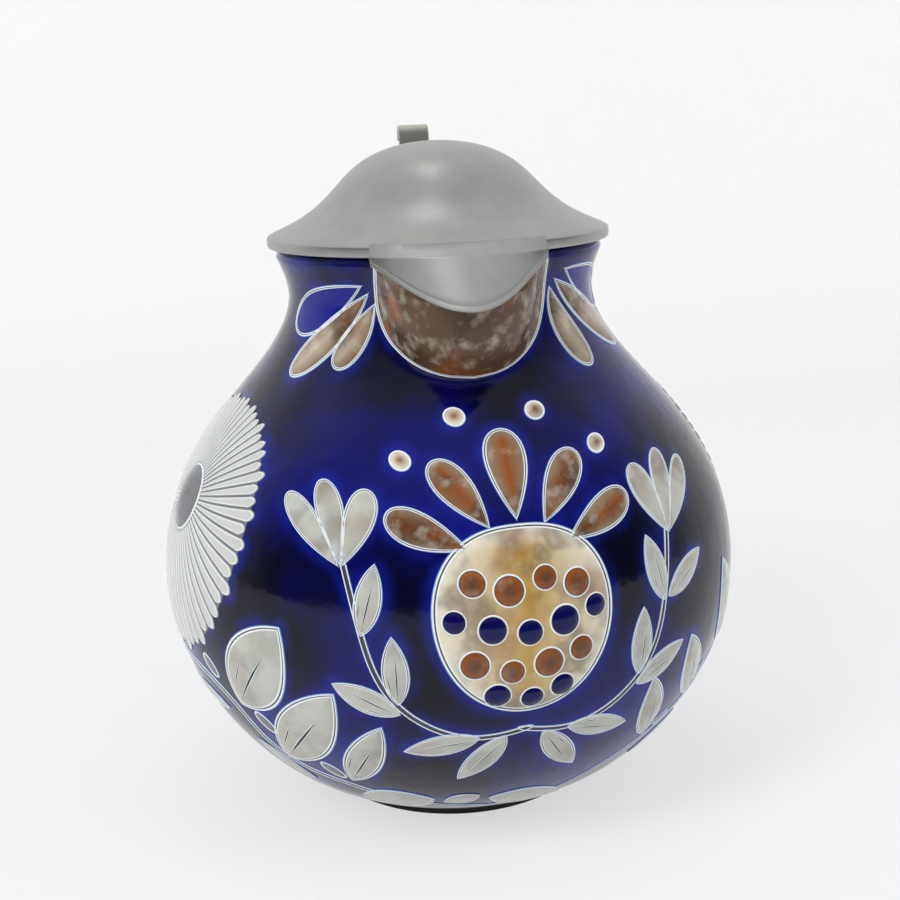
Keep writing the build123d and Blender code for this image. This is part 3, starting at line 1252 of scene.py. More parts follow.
LEAF_LINES = double_line(0.72, Glaze.ASH, 0.28, 0.32)
SMALL_LINES = double_line(0.5, Glaze.ASH, 0.15, 0.28)
PETAL_LINES = double_line(0.6, Glaze.LOAM, 0.9, 0.3)
VEIN_LINES = (
    Line(0.0, -0.12, Glaze.ASH),
    Line(0.1, 0.1, Glaze.CHALK),
    Line(0.24, 0.12, Glaze.CHALK),
    Line(0.34, 0.04, Glaze.SOOT),
)
STEM_LINES = (
    Line(0.0, -0.3, Glaze.COBALT, 1.0),
    Line(0.2, 0.0, Glaze.SKY, 0.5),
    Line(0.45, 0.3, Glaze.CHALK),
    Line(0.8, 0.3, Glaze.CHALK),
    Line(1.0, 0.05, Glaze.SLATE),
)
RAY_LINES = (
    Line(0.0, -0.2, Glaze.STONE),
    Line(0.14, 0.1, Glaze.STONE),
    Line(0.34, 0.34, Glaze.PEARL),
    Line(0.6, 0.46, Glaze.CHALK),
    Line(0.95, 0.46, Glaze.PEARL, 0.0, 0.04),
)
DISC_LINES = (
    Line(0.0, -0.2, Glaze.COBALT, 1.0),
    Line(0.6, 0.12, Glaze.STONE),
)


@dataclass
class Decoration:
    """The carved and glazed ornament, in groups that are each joined into one piece."""

    form: PotForm
    glaze: bpy.types.Material
    edges: list[np.ndarray] = field(default_factory=list)

    leaf: Motif = Motif("leaf", 34, 17, Blade.LEAF, LEAF_LINES, crown=0.3, steps=26, fill_rings=5)
    slim_leaf: Motif = Motif("slim_leaf", 28, 11, Blade.LEAF, LEAF_LINES, crown=0.3)
    flat_leaf: Motif = Motif("flat_leaf", 24, 15, Blade.ALMOND, SMALL_LINES, crown=0.2)
    bud: Motif = Motif("bud", 9, 5.2, Blade.DISC, single_line(0.8, Glaze.STONE, 0.1), crown=0.15, steps=14)
    vein: Motif = Motif("vein", 21, 1.0, Blade.ALMOND, VEIN_LINES, crown=0.0, steps=14, fill_rings=1)
    side_vein: Motif = Motif(
        "side_vein", 9, 0.75, Blade.ALMOND, VEIN_LINES, crown=0.0, steps=12, fill_rings=1
    )
    drop: Motif = Motif("drop", 37, 10.4, Blade.PETAL, PETAL_LINES, crown=0.5, heart=Glaze.OAT)
    short_drop: Motif = Motif("short_drop", 24, 9.8, Blade.PETAL, PETAL_LINES, crown=0.5, heart=Glaze.OAT)
    hollow_drop: Motif = Motif(
        "hollow_drop", 32, 12.5, Blade.PETAL, double_line(0.55, Glaze.COBALT, 0.0, 0.02), crown=0.0
    )
    bib: Motif = Motif(
        "bib", 37, 50, Blade.BIB,
        (Line(0.0, -1.3, Glaze.COBALT, 1.0), *double_line(0.75, Glaze.UMBER, 1.0, 0.42)),
        crown=0.1, steps=100, fill_rings=38,
    )
    ray: Motif = Motif("ray", 31, 4.05, Blade.RAY, RAY_LINES, crown=0.12, steps=18, fill_rings=2)
    backing: Motif = Motif("backing", 79, 79, Blade.DISC, DISC_LINES, crown=0.0, steps=60, fill_rings=22)
    eye: Motif = Motif(
        "eye", 21, 21, Blade.DISC, inlaid(1.0, Glaze.STONE, 0.15, Glaze.ASH, 0.4),
        crown=0.5, heart=Glaze.SLATE,
    )
    fruit: Motif = Motif(
        "fruit", 54, 52, Blade.FRUIT, double_line(0.85, Glaze.CREAM, 0.7), crown=0.8, heart=Glaze.OCHRE,
        steps=48, fill_rings=12,
    )
    crest: Motif = Motif("crest", 26, 12, Blade.PETAL, PETAL_LINES, crown=0.6, heart=Glaze.AMBER)
    tulip: Motif = Motif("tulip", 27, 10.5, Blade.PETAL, double_line(0.62, Glaze.ASH, 0.5), crown=0.4)
    spray_leaf: Motif = Motif("spray_leaf", 26, 10.5, Blade.LEAF, LEAF_LINES, crown=0.3)
    berry: Motif = Motif(
        "berry", 7, 7, Blade.DISC, single_line(0.9, Glaze.CREAM, 0.6), crown=0.5, heart=Glaze.AMBER
    )
    blue_seed: Motif = Motif(
        "blue_seed", 8.6, 8.6, Blade.DISC, inlaid(0.9, Glaze.NIGHT, 0.0, Glaze.CREAM, 0.55),
        crown=0.5, steps=18,
    )
    amber_seed: Motif = Motif(
        "amber_seed", 8.6, 8.6, Blade.DISC, inlaid(0.9, Glaze.AMBER, 0.4, Glaze.CREAM, 0.35),
        crown=0.3, heart=Glaze.UMBER, steps=18,
    )
    bib_rise: float = 0.8
    stem_width: float = 2.4
    vine_width: float = 2.6
    front_turns: Pair = (-15.0, 30.0)
    narrow: float = 0.55
    daisy_radius: float = 40.5
    rays: int = 58
    ray_change: float = 0.035
    eye_rise: float = 6.0
    eye_reach: float = 9.5
    eye_lift: float = 0.3
    spray_place: Pair = (6.0, 0.084)
    left_vine: tuple[Pair, ...] = (
        (2, 0.0125), (-14, 0.0150), (-31.8, 0.0225), (-45, 0.0280), (-51.6, 0.0365), (-55, 0.0450),
        (-61, 0.0515), (-70, 0.0545), (-80, 0.0535), (-96, 0.044), (-114, 0.036), (-136, 0.033),
        (-158, 0.0355), (-180, 0.040),
    )
    right_vine: tuple[Pair, ...] = (
        (2, 0.0125), (16, 0.0148), (30, 0.0225), (40, 0.0285), (52, 0.0365), (63, 0.0455), (75, 0.0520),
        (90, 0.0520), (108, 0.044), (126, 0.036), (144, 0.033), (162, 0.0355), (180, 0.040),
    )

    def _close(self, ornament: Ornament) -> None:
        """Joins a finished group and keeps its outlines."""
        ornament.finish(self.glaze)
        self.edges += ornament.edges

    def _veined(self, ornament: Ornament, motif: Motif, spot: Spot) -> None:
        """Lays a leaf with its middle vein and a short one beside it.

        Args:
            ornament: The group that it belongs to.
            motif: The leaf.
            spot: Where the leaf lies.
        """
        ornament.lay(motif, spot)
        size = spot.swell * motif.length / self.leaf.length
        for vein, x, y, lean in ((self.vein, 0.0, 0.09, 2.0), (self.side_vein, -0.075, 0.2, -7.0)):
            base = spot.spread(np.array([[x * motif.length, y * motif.length]]))[0]
            where = Spot(spot.turn, spot.height, spot.lean + lean, tuple(base), size)
            ornament.lay(vein, where, bed=(motif, spot))

    def build_collar(self) -> None:
        """The bib under the spout and the drop-shaped petals on both sides of it."""
        collar = Ornament(self.form, "collar")
        collar.lay(self.bib, Spot(1.5, 0.1405), rise=self.bib_rise)
        for motif, base, tip in (
            (self.hollow_drop, (-32.7, 0.1655), (-70.2, 0.1515)),
            (self.drop, (-30.3, 0.1640), (-59.5, 0.1387)),
            (self.short_drop, (-28.8, 0.1610), (-41.8, 0.1416)),
            (self.short_drop, (34.0, 0.1634), (43.7, 0.1385)),
            (self.drop, (34.8, 0.1652), (71.7, 0.1416)),
            (self.hollow_drop, (39.5, 0.1672), (80.0, 0.1550)),
        ):
            collar.lay(motif, collar.spot_between(motif, base, tip))
        self._close(collar)

    def _vine(self, name: str, path: Sequence[Pair]) -> Motif:
        """A thin vine line along places on the pot, with its own axis.

        Args:
            name: The motif's name.
            path: Turns in degrees and heights along the line.

        Returns:
            The motif, whose origin is the line's first place.
        """
        axis = tuple(self.form.offset(path[0], place) for place in path)
        length = sum(math.dist(a, b) for a, b in zip(axis, axis[1:]))
        return Motif(
            name, length, self.vine_width, Blade.BAND, STEM_LINES,
            crown=0.0, axis=axis, steps=150, fill_rings=1, core=0.004,
        )

    def build_garland(self) -> None:
        """The vine round the pot's foot with its leaves, buds and flat leaves."""
        garland = Ornament(self.form, "garland")
        for name, path in (("left_vine", self.left_vine), ("right_vine", self.right_vine)):
            garland.lay(self._vine(name, path), Spot(*path[0]))
        for motif, base, tip, stretch in (
            (self.leaf, (-53.2, 0.0470), (-38.1, 0.0776), 1.2),
            (self.leaf, (-47.3, 0.0295), (-28.2, 0.0602), 0.84),
            (self.slim_leaf, (-31.8, 0.0252), (-20.1, 0.0506), 0.9),
            (self.slim_leaf, (39.1, 0.0302), (33.3, 0.0551), 1.0),
            (self.slim_leaf, (52.0, 0.0380), (43.3, 0.0635), 1.05),
            (self.leaf, (66.0, 0.0480), (58.0, 0.0800), 0.9),
            (self.leaf, (-101.0, 0.0435), (-108.0, 0.0760), 1.0),
            (self.leaf, (-122.0, 0.0355), (-127.0, 0.0690), 1.0),
            (self.slim_leaf, (-141.0, 0.0345), (-145.0, 0.0620), 1.0),
            (self.slim_leaf, (-160.0, 0.0370), (-163.0, 0.0600), 1.0),
            (self.leaf, (112.0, 0.0425), (119.0, 0.0740), 1.0),
            (self.leaf, (132.0, 0.0350), (137.0, 0.0680), 1.0),
            (self.slim_leaf, (150.0, 0.0345), (154.0, 0.0610), 1.0),
            (self.slim_leaf, (167.0, 0.0375), (170.0, 0.0600), 1.0),
        ):
            self._veined(garland, motif, garland.spot_between(motif, base, tip, stretch))
        for base, tip in (
            ((-62.3, 0.0605), (-57.9, 0.0537)), ((-49.6, 0.0468), (-45.2, 0.0397)),
            ((-37.4, 0.0322), (-32.4, 0.0260)), ((46.0, 0.0360), (41.0, 0.0330)),
            ((57.0, 0.0470), (52.5, 0.0425)), ((-112.0, 0.0440), (-118.0, 0.0410)),
            ((-131.0, 0.0385), (-137.0, 0.0385)), ((-150.0, 0.0385), (-156.0, 0.0395)),
            ((122.0, 0.0430), (128.0, 0.0400)), ((140.0, 0.0385), (146.0, 0.0385)),
            ((158.0, 0.0385), (164.0, 0.0405)),
        ):
            garland.lay(self.bud, garland.spot_between(self.bud, base, tip))
        for base, tip in (
            ((-33.5, 0.0155), (-12.5, 0.0190)), ((-10.8, 0.0165), (-1.5, 0.0205)),
            ((0.5, 0.0185), (24.0, 0.0125)), ((-56.0, 0.0330), (-44.0, 0.0205)),
            ((-74.0, 0.0450), (-60.0, 0.0420)), ((-92.0, 0.0390), (-78.0, 0.0440)),
            ((-112.0, 0.0280), (-98.0, 0.0350)), ((-134.0, 0.0240), (-118.0, 0.0270)),
            ((-156.0, 0.0265), (-141.0, 0.0240)), ((-176.0, 0.0310), (-163.0, 0.0275)),
            ((56.0, 0.0300), (42.0, 0.0205)), ((74.0, 0.0430), (60.0, 0.0350)),
            ((92.0, 0.0420), (78.0, 0.0435)), ((112.0, 0.0320), (98.0, 0.0385)),
            ((134.0, 0.0240), (118.0, 0.0280)), ((156.0, 0.0265), (141.0, 0.0240)),
            ((176.0, 0.0310), (163.0, 0.0275)),
        ):
            stretch = 1.0 if self.front_turns[0] < tip[0] < self.front_turns[1] else self.narrow
            garland.lay(self.flat_leaf, garland.spot_between(self.flat_leaf, base, tip, stretch))
        self._close(garland)

    def build_daisy(self, name: str, turn: float, height: float) -> None:
        """A large daisy of narrow ribbed rays on a dark backing, with a dark eye.

        Args:
            name: The piece's name.
            turn: The turn of its middle, in degrees.
            height: The height of its middle.
        """
        daisy = Ornament(self.form, name)
        daisy.lay(self.backing, Spot(turn, height, 0.0, (0.0, -self.backing.length / 2)))
        for number in range(self.rays):
            angle = math.tau * number / self.rays
            sunk = -self.eye_rise * math.cos(angle)
            edge = sunk + math.sqrt(sunk**2 - self.eye_rise**2 + self.daisy_radius**2)
            size = (edge - self.eye_reach) / self.ray.length
            size *= 1.0 + self.ray_change * math.sin(number * 2.4)
            base = (self.eye_reach * math.sin(angle), self.eye_rise + self.eye_reach * math.cos(angle))
            daisy.lay(self.ray, Spot(turn, height, math.degrees(angle), base, size))
        middle = (0.0, self.eye_rise - self.eye.length / 2)
        daisy.lay(self.eye, Spot(turn, height, 0.0, middle), rise=self.eye_lift)
        self._close(daisy)

    def _in_spray(self, x: float, y: float, lean: float = 0.0, swell: float = 1.0) -> Spot:
        """A place in the spray's layout, from its middle in millimetres."""
        return Spot(*self.spray_place, lean, (x, y), swell)

    def build_spray(self) -> None:
        """The fruit on its leafy branch, on the front of the belly."""
        spray = Ornament(self.form, "spray")
        bends = ((-2.5, 0), (14, -2.5), (28, 3), (39.5, 15), (45, 31), (48.5, 50))
        for side, name in ((-1, "left_stem"), (1, "right_stem")):
            stem = Motif(
                name, 80, self.stem_width, Blade.BAND, STEM_LINES, crown=0.0,
                axis=tuple((side * x, y) for x, y in bends), steps=60, fill_rings=1, core=0.01,
            )
            spray.lay(stem, self._in_spray(0, -36))
            for lean in (-32, 32, 0):
                spray.lay(self.tulip, self._in_spray(side * 49, 11, side * 6 + lean, 0.92))
            leaves = [(34, -30, 66, 0.86), (35, -27, 4, 0.82), (45, -7, -16, 0.82)]
            leaves += [(5, -38, 148, 0.9), (12, -38.5, 104, 0.86)]
            leaves += [(46, -6, 62, 0.8)] if side > 0 else []
            for x, y, lean, swell in leaves:
                self._veined(spray, self.spray_leaf, self._in_spray(side * x, y, side * lean, swell))
            for x, y in ((11.5, 51), (28.5, 38)):
                spray.lay(self.berry, self._in_spray(side * x, y))
        fruit = self._in_spray(0, -31)
        for x, y, lean in ((-13, 16, -66), (13, 16, 66), (-7, 21, -33), (7, 21, 33), (0, 22.5, 0)):
            spray.lay(self.crest, self._in_spray(x, y, lean, 0.95 if lean else 1.08))
        spray.lay(self.fruit, fruit)
        for x, y, swell in (
            (-14, 7.5, 0.95), (-4.5, 5, 1.08), (5.5, 7.5, 0.86), (14.5, 5, 1.0),
            (-14.5, -14.5, 1.04), (-4.5, -17, 0.86), (5.5, -15.5, 1.08), (15, -13, 0.9),
        ):
            place = self._in_spray(x, y - self.amber_seed.length * swell / 2, 0.0, swell)
            spray.lay(self.amber_seed, place, bed=(self.fruit, fruit))
        for x, y, swell in (
            (-19.5, -2.5, 0.82), (-9.5, -5, 1.0), (0.5, -6.5, 0.9), (10.3, -4.5, 1.08), (19.7, -2, 0.82),
            (-8.5, -24, 0.95), (1, -25.5, 0.84), (9.5, -23, 0.9),
        ):
            place = self._in_spray(x, y - self.blue_seed.length * swell / 2, 0.0, swell)
            spray.lay(self.blue_seed, place, bed=(self.fruit, fruit))
        self._close(spray)

    def build(self) -> np.ndarray:
        """Builds every group.

        Returns:
            The outlines' points, which the ground glaze brightens beside.
        """
        self.build_collar()
        self.build_garland()
        self.build_daisy("side_daisy", -75.5, 0.097)
        self.build_daisy("back_daisy", 109.0, 0.097)
        self.build_spray()
        return np.concatenate(self.edges)


@dataclass
class Pot:
    """The thrown pot in one wall with its drawn spout."""

    form: PotForm
    steps: int = 320
    rows: int = 140
    gather: float = 0.45
    foot_radius: float = 0.042
    foot_width: float = 0.007
    foot_round: float = 0.0008
    recess: float = 0.0022
    flat_share: float = 0.6
    floor_top: float = 0.0077
    floor_radius: float = 0.038
    inside_bottom: float = 0.0125
    heel_height: float = 0.0036
    heel_step: float = 0.0006
    # Below this height the foot is painted near-black, bare clay with a painted shade under the jug.
    bare_and_shade_height: float = 0.0100
    bare_and_shade_fade: float = 0.0006
    glow_reach: float = 0.0042
    glow_power: float = 1.6
    edge_glow: float = 0.8
    inside_glow: float = 0.25
    inside_depth: float = 0.002
    # Painted highlight: the cobalt is brightened near the top of the rim, standing in for the blue highlight
    # on the rolled lip.
    rim_highlight_drop: float = 0.006
    rim_highlight_fade: float = 0.005

    def section(self) -> list[tuple[float, float]]:
        """The wall's section from the foot's middle, out, up, over the rim and back to the floor's middle.

        Returns:
            Points as radius and height.
        """
        form = self.form
        edge = self.foot_round
        inside_foot = self.foot_radius - self.foot_width
        foot = [(0.0, self.recess), (inside_foot * self.flat_share, self.recess)]
        foot += [(inside_foot - edge, self.recess), (inside_foot, self.recess - edge)]
        foot += arc((inside_foot + edge, edge), edge, 180, 270, 5)
        foot += arc((self.foot_radius - edge, edge), edge, 270, 360, 5)
        foot += [(self.foot_radius, self.heel_height - 0.0016)]
        foot += [(self.foot_radius + self.heel_step, self.heel_height - self.heel_step)]
        heights = form.height_at(np.linspace(self.heel_step, form.length, self.rows))
        outside = list(zip(form.radius_at(heights), heights))
        middle = outside[-1][0] - form.wall / 2
        rim = arc((middle, outside[-1][1]), form.wall / 2, 0, 180, 13)[1:-1]
        inner_heights = np.linspace(outside[-1][1], self.inside_bottom, self.rows * 2 // 3)
        inside = list(zip(form.inner_radius_at(inner_heights), inner_heights))
        floor = [(self.floor_radius + 0.004, self.floor_top + 0.0018)]
        floor += [(self.floor_radius, self.floor_top + 0.0003)]
        floor += [(self.floor_radius * self.flat_share, self.floor_top), (0.0, self.floor_top)]
        return foot + outside + rim + inside + floor

    def build(self, material: bpy.types.Material, edges: np.ndarray) -> bpy.types.Object:
        """Spins the wall, draws the spout out of it and paints the glaze's glow.

        Args:
            material: The glaze.
            edges: The outline points of all carved shapes.

        Returns:
            The pot.
        """
        section = self.section()
        piece = spin_section("pot", section, self.steps)
        flat = read_points(piece)
        radius = np.hypot(flat[:, 0], flat[:, 1])
        height = flat[:, 2]
        turn = np.arctan2(flat[:, 0], -flat[:, 1])
        turn -= self.gather * np.sin(turn)
        flat = round_axis(radius, turn, height)
        drawn = (height > self.form.spout_start) & (np.abs(turn) < self.form.spout_turn)
        turn, height, radius = turn[drawn], height[drawn], radius[drawn]
        outer = self.form.radius_at(height)
        inner = self.form.inner_radius_at(height)
        share = np.clip((radius - inner) / (outer - inner), 0, 1)
        low = self.form.settle(turn, height)
        outer_reach = self.form.reach(turn, low, self.form.radius_at(low))
        inner_reach = self.form.reach(turn, low, self.form.inner_radius_at(low), self.form.cup_wall)
        flat[drawn] = round_axis(inner_reach * (1 - share) + outer_reach * share, turn, low)
        write_points(piece, flat)
        self._paint(piece, flat, edges)
        piece.data.materials.append(material)
        smooth(piece, 50.0)
        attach(piece, JUG)
        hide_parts("jug_body", "pouring_spout")
        log.info("pot: %d faces", len(piece.data.polygons))
        return piece

    def _paint(self, piece: bpy.types.Object, places: np.ndarray, edges: np.ndarray) -> None:
        """Paints the ground, its glow beside the carving, a painted highlight along the rim, and the bare
        foot painted near-black as shade.

        Args:
            piece: The pot.
            places: The places of its points.
            edges: The outline points of all carved shapes.
        """
        tree = KDTree(len(edges))
        for index, point in enumerate(edges):
            tree.insert(point, index)
        tree.balance()
        near = np.array([tree.find(point)[2] for point in places])
        beside = np.clip(1 - near / self.glow_reach, 0, 1) ** self.glow_power
        height = places[:, 2]
        # Painted highlight: the ground glaze is brightened near the rim, as if light falls along the rolled
        # lip.
        rim = np.clip((height - self.form.rim_height + self.rim_highlight_drop) / self.rim_highlight_fade, 0, 1)
        inside = np.hypot(places[:, 0], places[:, 1]) < self.form.radius_at(height) - self.inside_depth
        outside_glow = np.maximum(beside * self.edge_glow, self.edge_glow * rim)
        # The foot is painted near-black: bare clay with a painted shade under the jug.
        bare = np.clip((self.bare_and_shade_height - height) / self.bare_and_shade_fade, 0, 1)
        paint_glaze(piece, np.where(inside, self.inside_glow, outside_glow), bare)


@dataclass
class Handle:
    """The pulled strap handle, an oval rope of clay with two finger grooves down its back."""

    width: float = 0.024
    thickness: float = 0.0125
    corners: tuple[Pair, ...] = ((0.0432, 0.161), (0.098, 0.161), (0.112, 0.116), (0.0765, 0.0825))
    bends: Pair = (0.030, 0.034)
    bend_steps: int = 40
    rings: int = 96
    around: int = 72
    groove: float = 0.0007
    groove_place: float = 0.2
    groove_width: float = 0.0022
    root_swell: float = 0.0035
    root_run: float = 0.009
    ridge_start: float = 0.1
    ridge_run: float = 0.02
    ridge_glow: float = 0.35

    def path(self) -> np.ndarray:
        """Draws the handle's middle line from straight runs joined by arcs.

        Returns:
            Evenly spaced points, each a place along Y and a height.
        """
        corners = [np.array(corner) for corner in self.corners]
        points = [corners[0]]
        for before, corner, after, bend in zip(corners, corners[1:], corners[2:], self.bends):
            inward = (before - corner) / np.linalg.norm(before - corner)
            outward = (after - corner) / np.linalg.norm(after - corner)
            half = math.acos(float(np.clip(inward @ outward, -1, 1))) / 2
            middle = (inward + outward) / np.linalg.norm(inward + outward)
            centre = corner + middle * bend / math.sin(half)
            start = corner + inward * bend / math.tan(half) - centre
            end = corner + outward * bend / math.tan(half) - centre
            sweep = math.pi - 2 * half
            for part in np.linspace(0, 1, self.bend_steps):
                mixed = start * math.sin((1 - part) * sweep) + end * math.sin(part * sweep)
                points.append(centre + mixed / math.sin(sweep))
        points.append(corners[-1])
        line = np.array(points)
        runs = runs_along(line)
        wanted = np.linspace(0, runs[-1], self.rings)
        return np.stack([np.interp(wanted, runs, line[:, i]) for i in (0, 1)], axis=1)

    def build(self, material: bpy.types.Material) -> bpy.types.Object:
        """Lofts the handle along its middle line.

        Args:
            material: The glaze.

        Returns:
            The handle.
        """
        line = self.path()
        outward = turned_left(headings(line))
        step = np.linalg.norm(line[1] - line[0])
        angles = np.linspace(0, math.tau, self.around, endpoint=False)
        rings = []
        for number, (point, out) in enumerate(zip(line, outward)):
            ends = min(number, len(line) - 1 - number) * step
            swell = self.root_swell * max(0.0, 1 - ends / self.root_run) ** 2
            side = np.cos(angles) * (self.width / 2 + swell)
            back = np.sin(angles) * (self.thickness / 2 + swell)
            worn = self.groove * min(1.0, ends / (2 * self.root_run))
            dips = np.exp(-(((np.abs(side) - self.width * self.groove_place) / self.groove_width) ** 2))
            back -= np.where(np.sin(angles) > 0, dips * worn, 0.0)
            rings.append(np.stack([side, point[0] + out[0] * back, point[1] + out[1] * back], axis=1))
        piece = draw_rings("strap_handle", rings, closed_ends=True)
        turn_outwards(piece)
        back_place = read_points(piece)[:, 1]
        ridge = np.clip((back_place - self.ridge_start) / self.ridge_run, 0, 1) * self.ridge_glow
        paint_glaze(piece, ridge)
        piece.data.materials.append(material)
        smooth(piece, 60.0)
        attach(piece, JUG)
        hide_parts("handle")
        log.info("handle: %d faces", len(piece.data.polygons))
        return piece


@dataclass
class Lid:
    """The pewter lid: a domed shell with a rolled band, its spout cover and its thumb lift."""

    radius: float = 0.0524
    base: float = 0.1732
    edge_top: float = 0.1764
    crown: tuple[Pair, ...] = ((0.0248, 0.196), (0.0346, 0.1866), (0.0427, 0.1808))
    top: float = 0.2032
    wall: float = 0.002
    seat_width: float = 0.0074
    edge_round: float = 0.0007
    steps: int = 240
    cover_root: Pair = (0.058, 0.0515)
    cover_root_height: float = 0.1770
    cover_tip: Pair = (0.0235, 0.0485)
    cover_tip_height: float = 0.1622
    cover_wall: float = 0.0018
    cover_drop: float = 0.00065
    cover_half_width: float = 0.0246
    cover_spread: float = 78.0
    cover_rings: int = 121
    crease: Pair = (0.22, 0.0015)
    line_inset: float = 0.0024
    line_width: float = 0.00035
    line_depth: float = 0.0001
    lift_roll: float = 0.0026
    lift_half_wall: float = 0.00098
    lift_curl: float = 200.0
    lift_stem: tuple[Pair, ...] = ((0.0, 0.0), (0.0003, 0.007), (0.001, 0.0165), (0.0024, 0.0255))

    def dome(self) -> np.ndarray:
        """Draws the dome's outline from its top out to the band.

        Returns:
            Points as radius and height.
        """
        mirrored = [(-r, z) for r, z in reversed(self.crown)]
        skirt = (self.radius - 0.0012, self.edge_top + 0.00045)
        knots = [(-skirt[0], skirt[1]), *mirrored, (0.0, self.top), *self.crown, skirt]
        curve = smooth_curve(knots, 401)
        return curve[curve[:, 0] >= -1e-9]

    def build_shell(self, material: bpy.types.Material) -> bpy.types.Object:
        """Spins the lid's shell.

        Args:
            material: The pewter.

        Returns:
            The shell.
        """
        dome = self.dome()[::3]
        hollow = dome - turned_left(headings(dome)) * self.wall
        hollow = hollow[(hollow[:, 0] < self.radius - self.seat_width - 0.001) & (hollow[:, 0] > 0.0005)]
        edge = self.edge_round
        section = [(0.0, self.top)] + [tuple(point) for point in dome[1:]]
        section += arc((self.radius - edge, self.edge_top - edge), edge, 60, 0, 5)
        section += arc((self.radius - edge, self.base + edge), edge, 0, -90, 5)
        section += [(self.radius - self.seat_width, self.base)]
        section += [(self.radius - self.seat_width, self.base + 0.002)]
        section += [tuple(point) for point in hollow[::-1]]
        section += [(0.0, self.top - self.wall)]
        piece = spin_section("lid_dome", section, self.steps)
        return self._dress(piece, material, "lid_shell", 35.0)

    def _cover_point(self, share: float, along: float, depth: float) -> np.ndarray:
        """A point of the cover's wall.

        Args:
            share: How far to the side it lies, from -1 to 1.
            along: How far down the slope it lies, from the root at 0 to the tip's circle at 1.
            depth: How far under the outer surface it lies.

        Returns:
            The point.
        """
        root_radius, root_front = self.cover_root
        crease, bulge = self.crease
        depth = depth - bulge * min(along / crease, (1 - along) / (1 - crease))
        aside = math.asin(self.cover_half_width * share / root_radius)
        radius = root_radius - depth
        root = np.array([radius * math.sin(aside), root_radius - root_front - radius * math.cos(aside), 0.0])
        root[2] = self.cover_root_height
        turn = math.radians(self.cover_spread) * share
        radius, centre = self.cover_tip[0] - depth, self.cover_tip[1]
        tip = np.array([radius * math.sin(turn), -centre - radius * math.cos(turn), self.cover_tip_height])
        return root * (1 - along) + tip * along

    def _cover_end(self, share: float, depth: float) -> float:
        """Finds where the lip's plane cuts the cover's wall.

        Args:
            share: How far to the side, from -1 to 1.
            depth: How far under the outer surface.

        Returns:
            How far down the slope it lies.
        """
        crease = self.crease[0]
        ends = [self._cover_point(share, along, depth) for along in (crease, 1.0)]
        edge = self.base - self.cover_drop
        over = [p[2] - edge + (-p[1] - LIP_START) * LIP_SLOPE for p in ends]
        return crease + (1 - crease) * over[0] / (over[0] - over[1])

    def build_cover(self, material: bpy.types.Material) -> bpy.types.Object:
        """Lofts the spout cover from side to side.

        Args:
            material: The pewter.

        Returns:
            The cover.
        """
        slope = math.dist(self._cover_point(0, 0, 0), self._cover_point(0, 1, 0))
        nick = self.line_width / slope
        crease = self.crease[0]
        rings = []
        for share in np.linspace(-1, 1, self.cover_rings):
            end = self._cover_end(share, 0.0)
            line = max(end - self.line_inset / slope, end * 0.55)
            runs = [(along, 0.0) for along in (0.0, crease * 0.5, crease * 0.93, crease, crease * 1.07)]
            runs += [(along, 0.0) for along in np.linspace(crease * 1.3, line - nick, 8)]
            runs += [(line, self.line_depth), (line + nick, self.line_depth / 5)]
            runs += [(along, 0.0) for along in np.linspace(line + 2 * nick, end - 0.0006 / slope, 5)]
            runs += [(end - 0.00015 / slope, 0.0001)]
            for depth in (0.0004, 0.0009, self.cover_wall - 0.0004):
                runs.append((self._cover_end(share, depth), depth))
            inner_end = self._cover_end(share, self.cover_wall)
            inner_runs = (inner_end - 0.0004 / slope, (inner_end + crease) / 2, crease, crease * 0.5, 0.0)
            runs += [(along, self.cover_wall) for along in inner_runs]
            rings.append(np.array([self._cover_point(share, along, depth) for along, depth in runs]))
        piece = draw_rings("spout_cover_shell", rings, closed_ends=True)
        turn_outwards(piece)
        return self._dress(piece, material, "spout_cover", 35.0)

    def build_lift(self, material: bpy.types.Material) -> bpy.types.Object:
        """Lofts the thumb lift, a strip whose top is rolled back.

        Args:
            material: The pewter.

        Returns:
            The thumb lift.
        """
        low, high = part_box("thumb_lift")
        half_width = (high.x - low.x) / 2
        reach = low.y + 0.001
        roll = self.lift_roll
        stem = smooth_curve([(reach + back, low.z + up) for back, up in self.lift_stem], 24)
        heading = math.atan2(1, 0.3)
        centre = (stem[-1][0] + roll * math.sin(heading), stem[-1][1] - roll * math.cos(heading))
        start = math.degrees(heading) + 90
        curl = arc(centre, roll, start, start - self.lift_curl, 26)[1:]
        line = np.concatenate([stem, np.array(curl)])
        rings = []
        for number, (point, out) in enumerate(zip(line, turned_left(headings(line)))):
            last = len(line) - 1 - number
            thick = self.lift_half_wall * (1 if last > 2 else (0.55, 0.82, 0.95)[last])
            profile = self._strip_profile(half_width, thick)
            back = point[0] + out[0] * profile[:, 1]
            up = point[1] + out[1] * profile[:, 1]
            rings.append(np.stack([profile[:, 0], back, up], axis=1))
        piece = draw_rings("rolled_lift", rings, closed_ends=True)
        turn_outwards(piece)
        return self._dress(piece, material, "thumb_lift", 45.0)

    def _strip_profile(self, half_width: float, thick: float) -> np.ndarray:
        """Draws a strip's cross-section with rounded edges.

        Args:
            half_width: Half its width.
            thick: Half its thickness.

        Returns:
            Points across the strip and through it.
        """
        corner = thick * 0.6
        points = []
        for cx, cy, start in ((1, 1, 90), (1, -1, 0), (-1, -1, -90), (-1, 1, -180)):
            centre = (cx * (half_width - corner), cy * (thick - corner))
            points += arc(centre, corner, start, start - 90, 5)
        return np.array(points)

    def _dress(
        self, piece: bpy.types.Object, material: bpy.types.Material, node: str, degrees: float
    ) -> bpy.types.Object:
        """Gives a finished piece its pewter and lets it swing with the lid.

        Args:
            piece: The piece.
            material: The pewter.
            node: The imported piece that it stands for.
            degrees: The angle from which its edges stay sharp.

        Returns:
            The same piece.
        """
        piece.data.materials.append(material)
        smooth(piece, degrees)
        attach(piece, LID)
        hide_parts(node)
        log.info("%s: %d faces", piece.name, len(piece.data.polygons))
        return piece


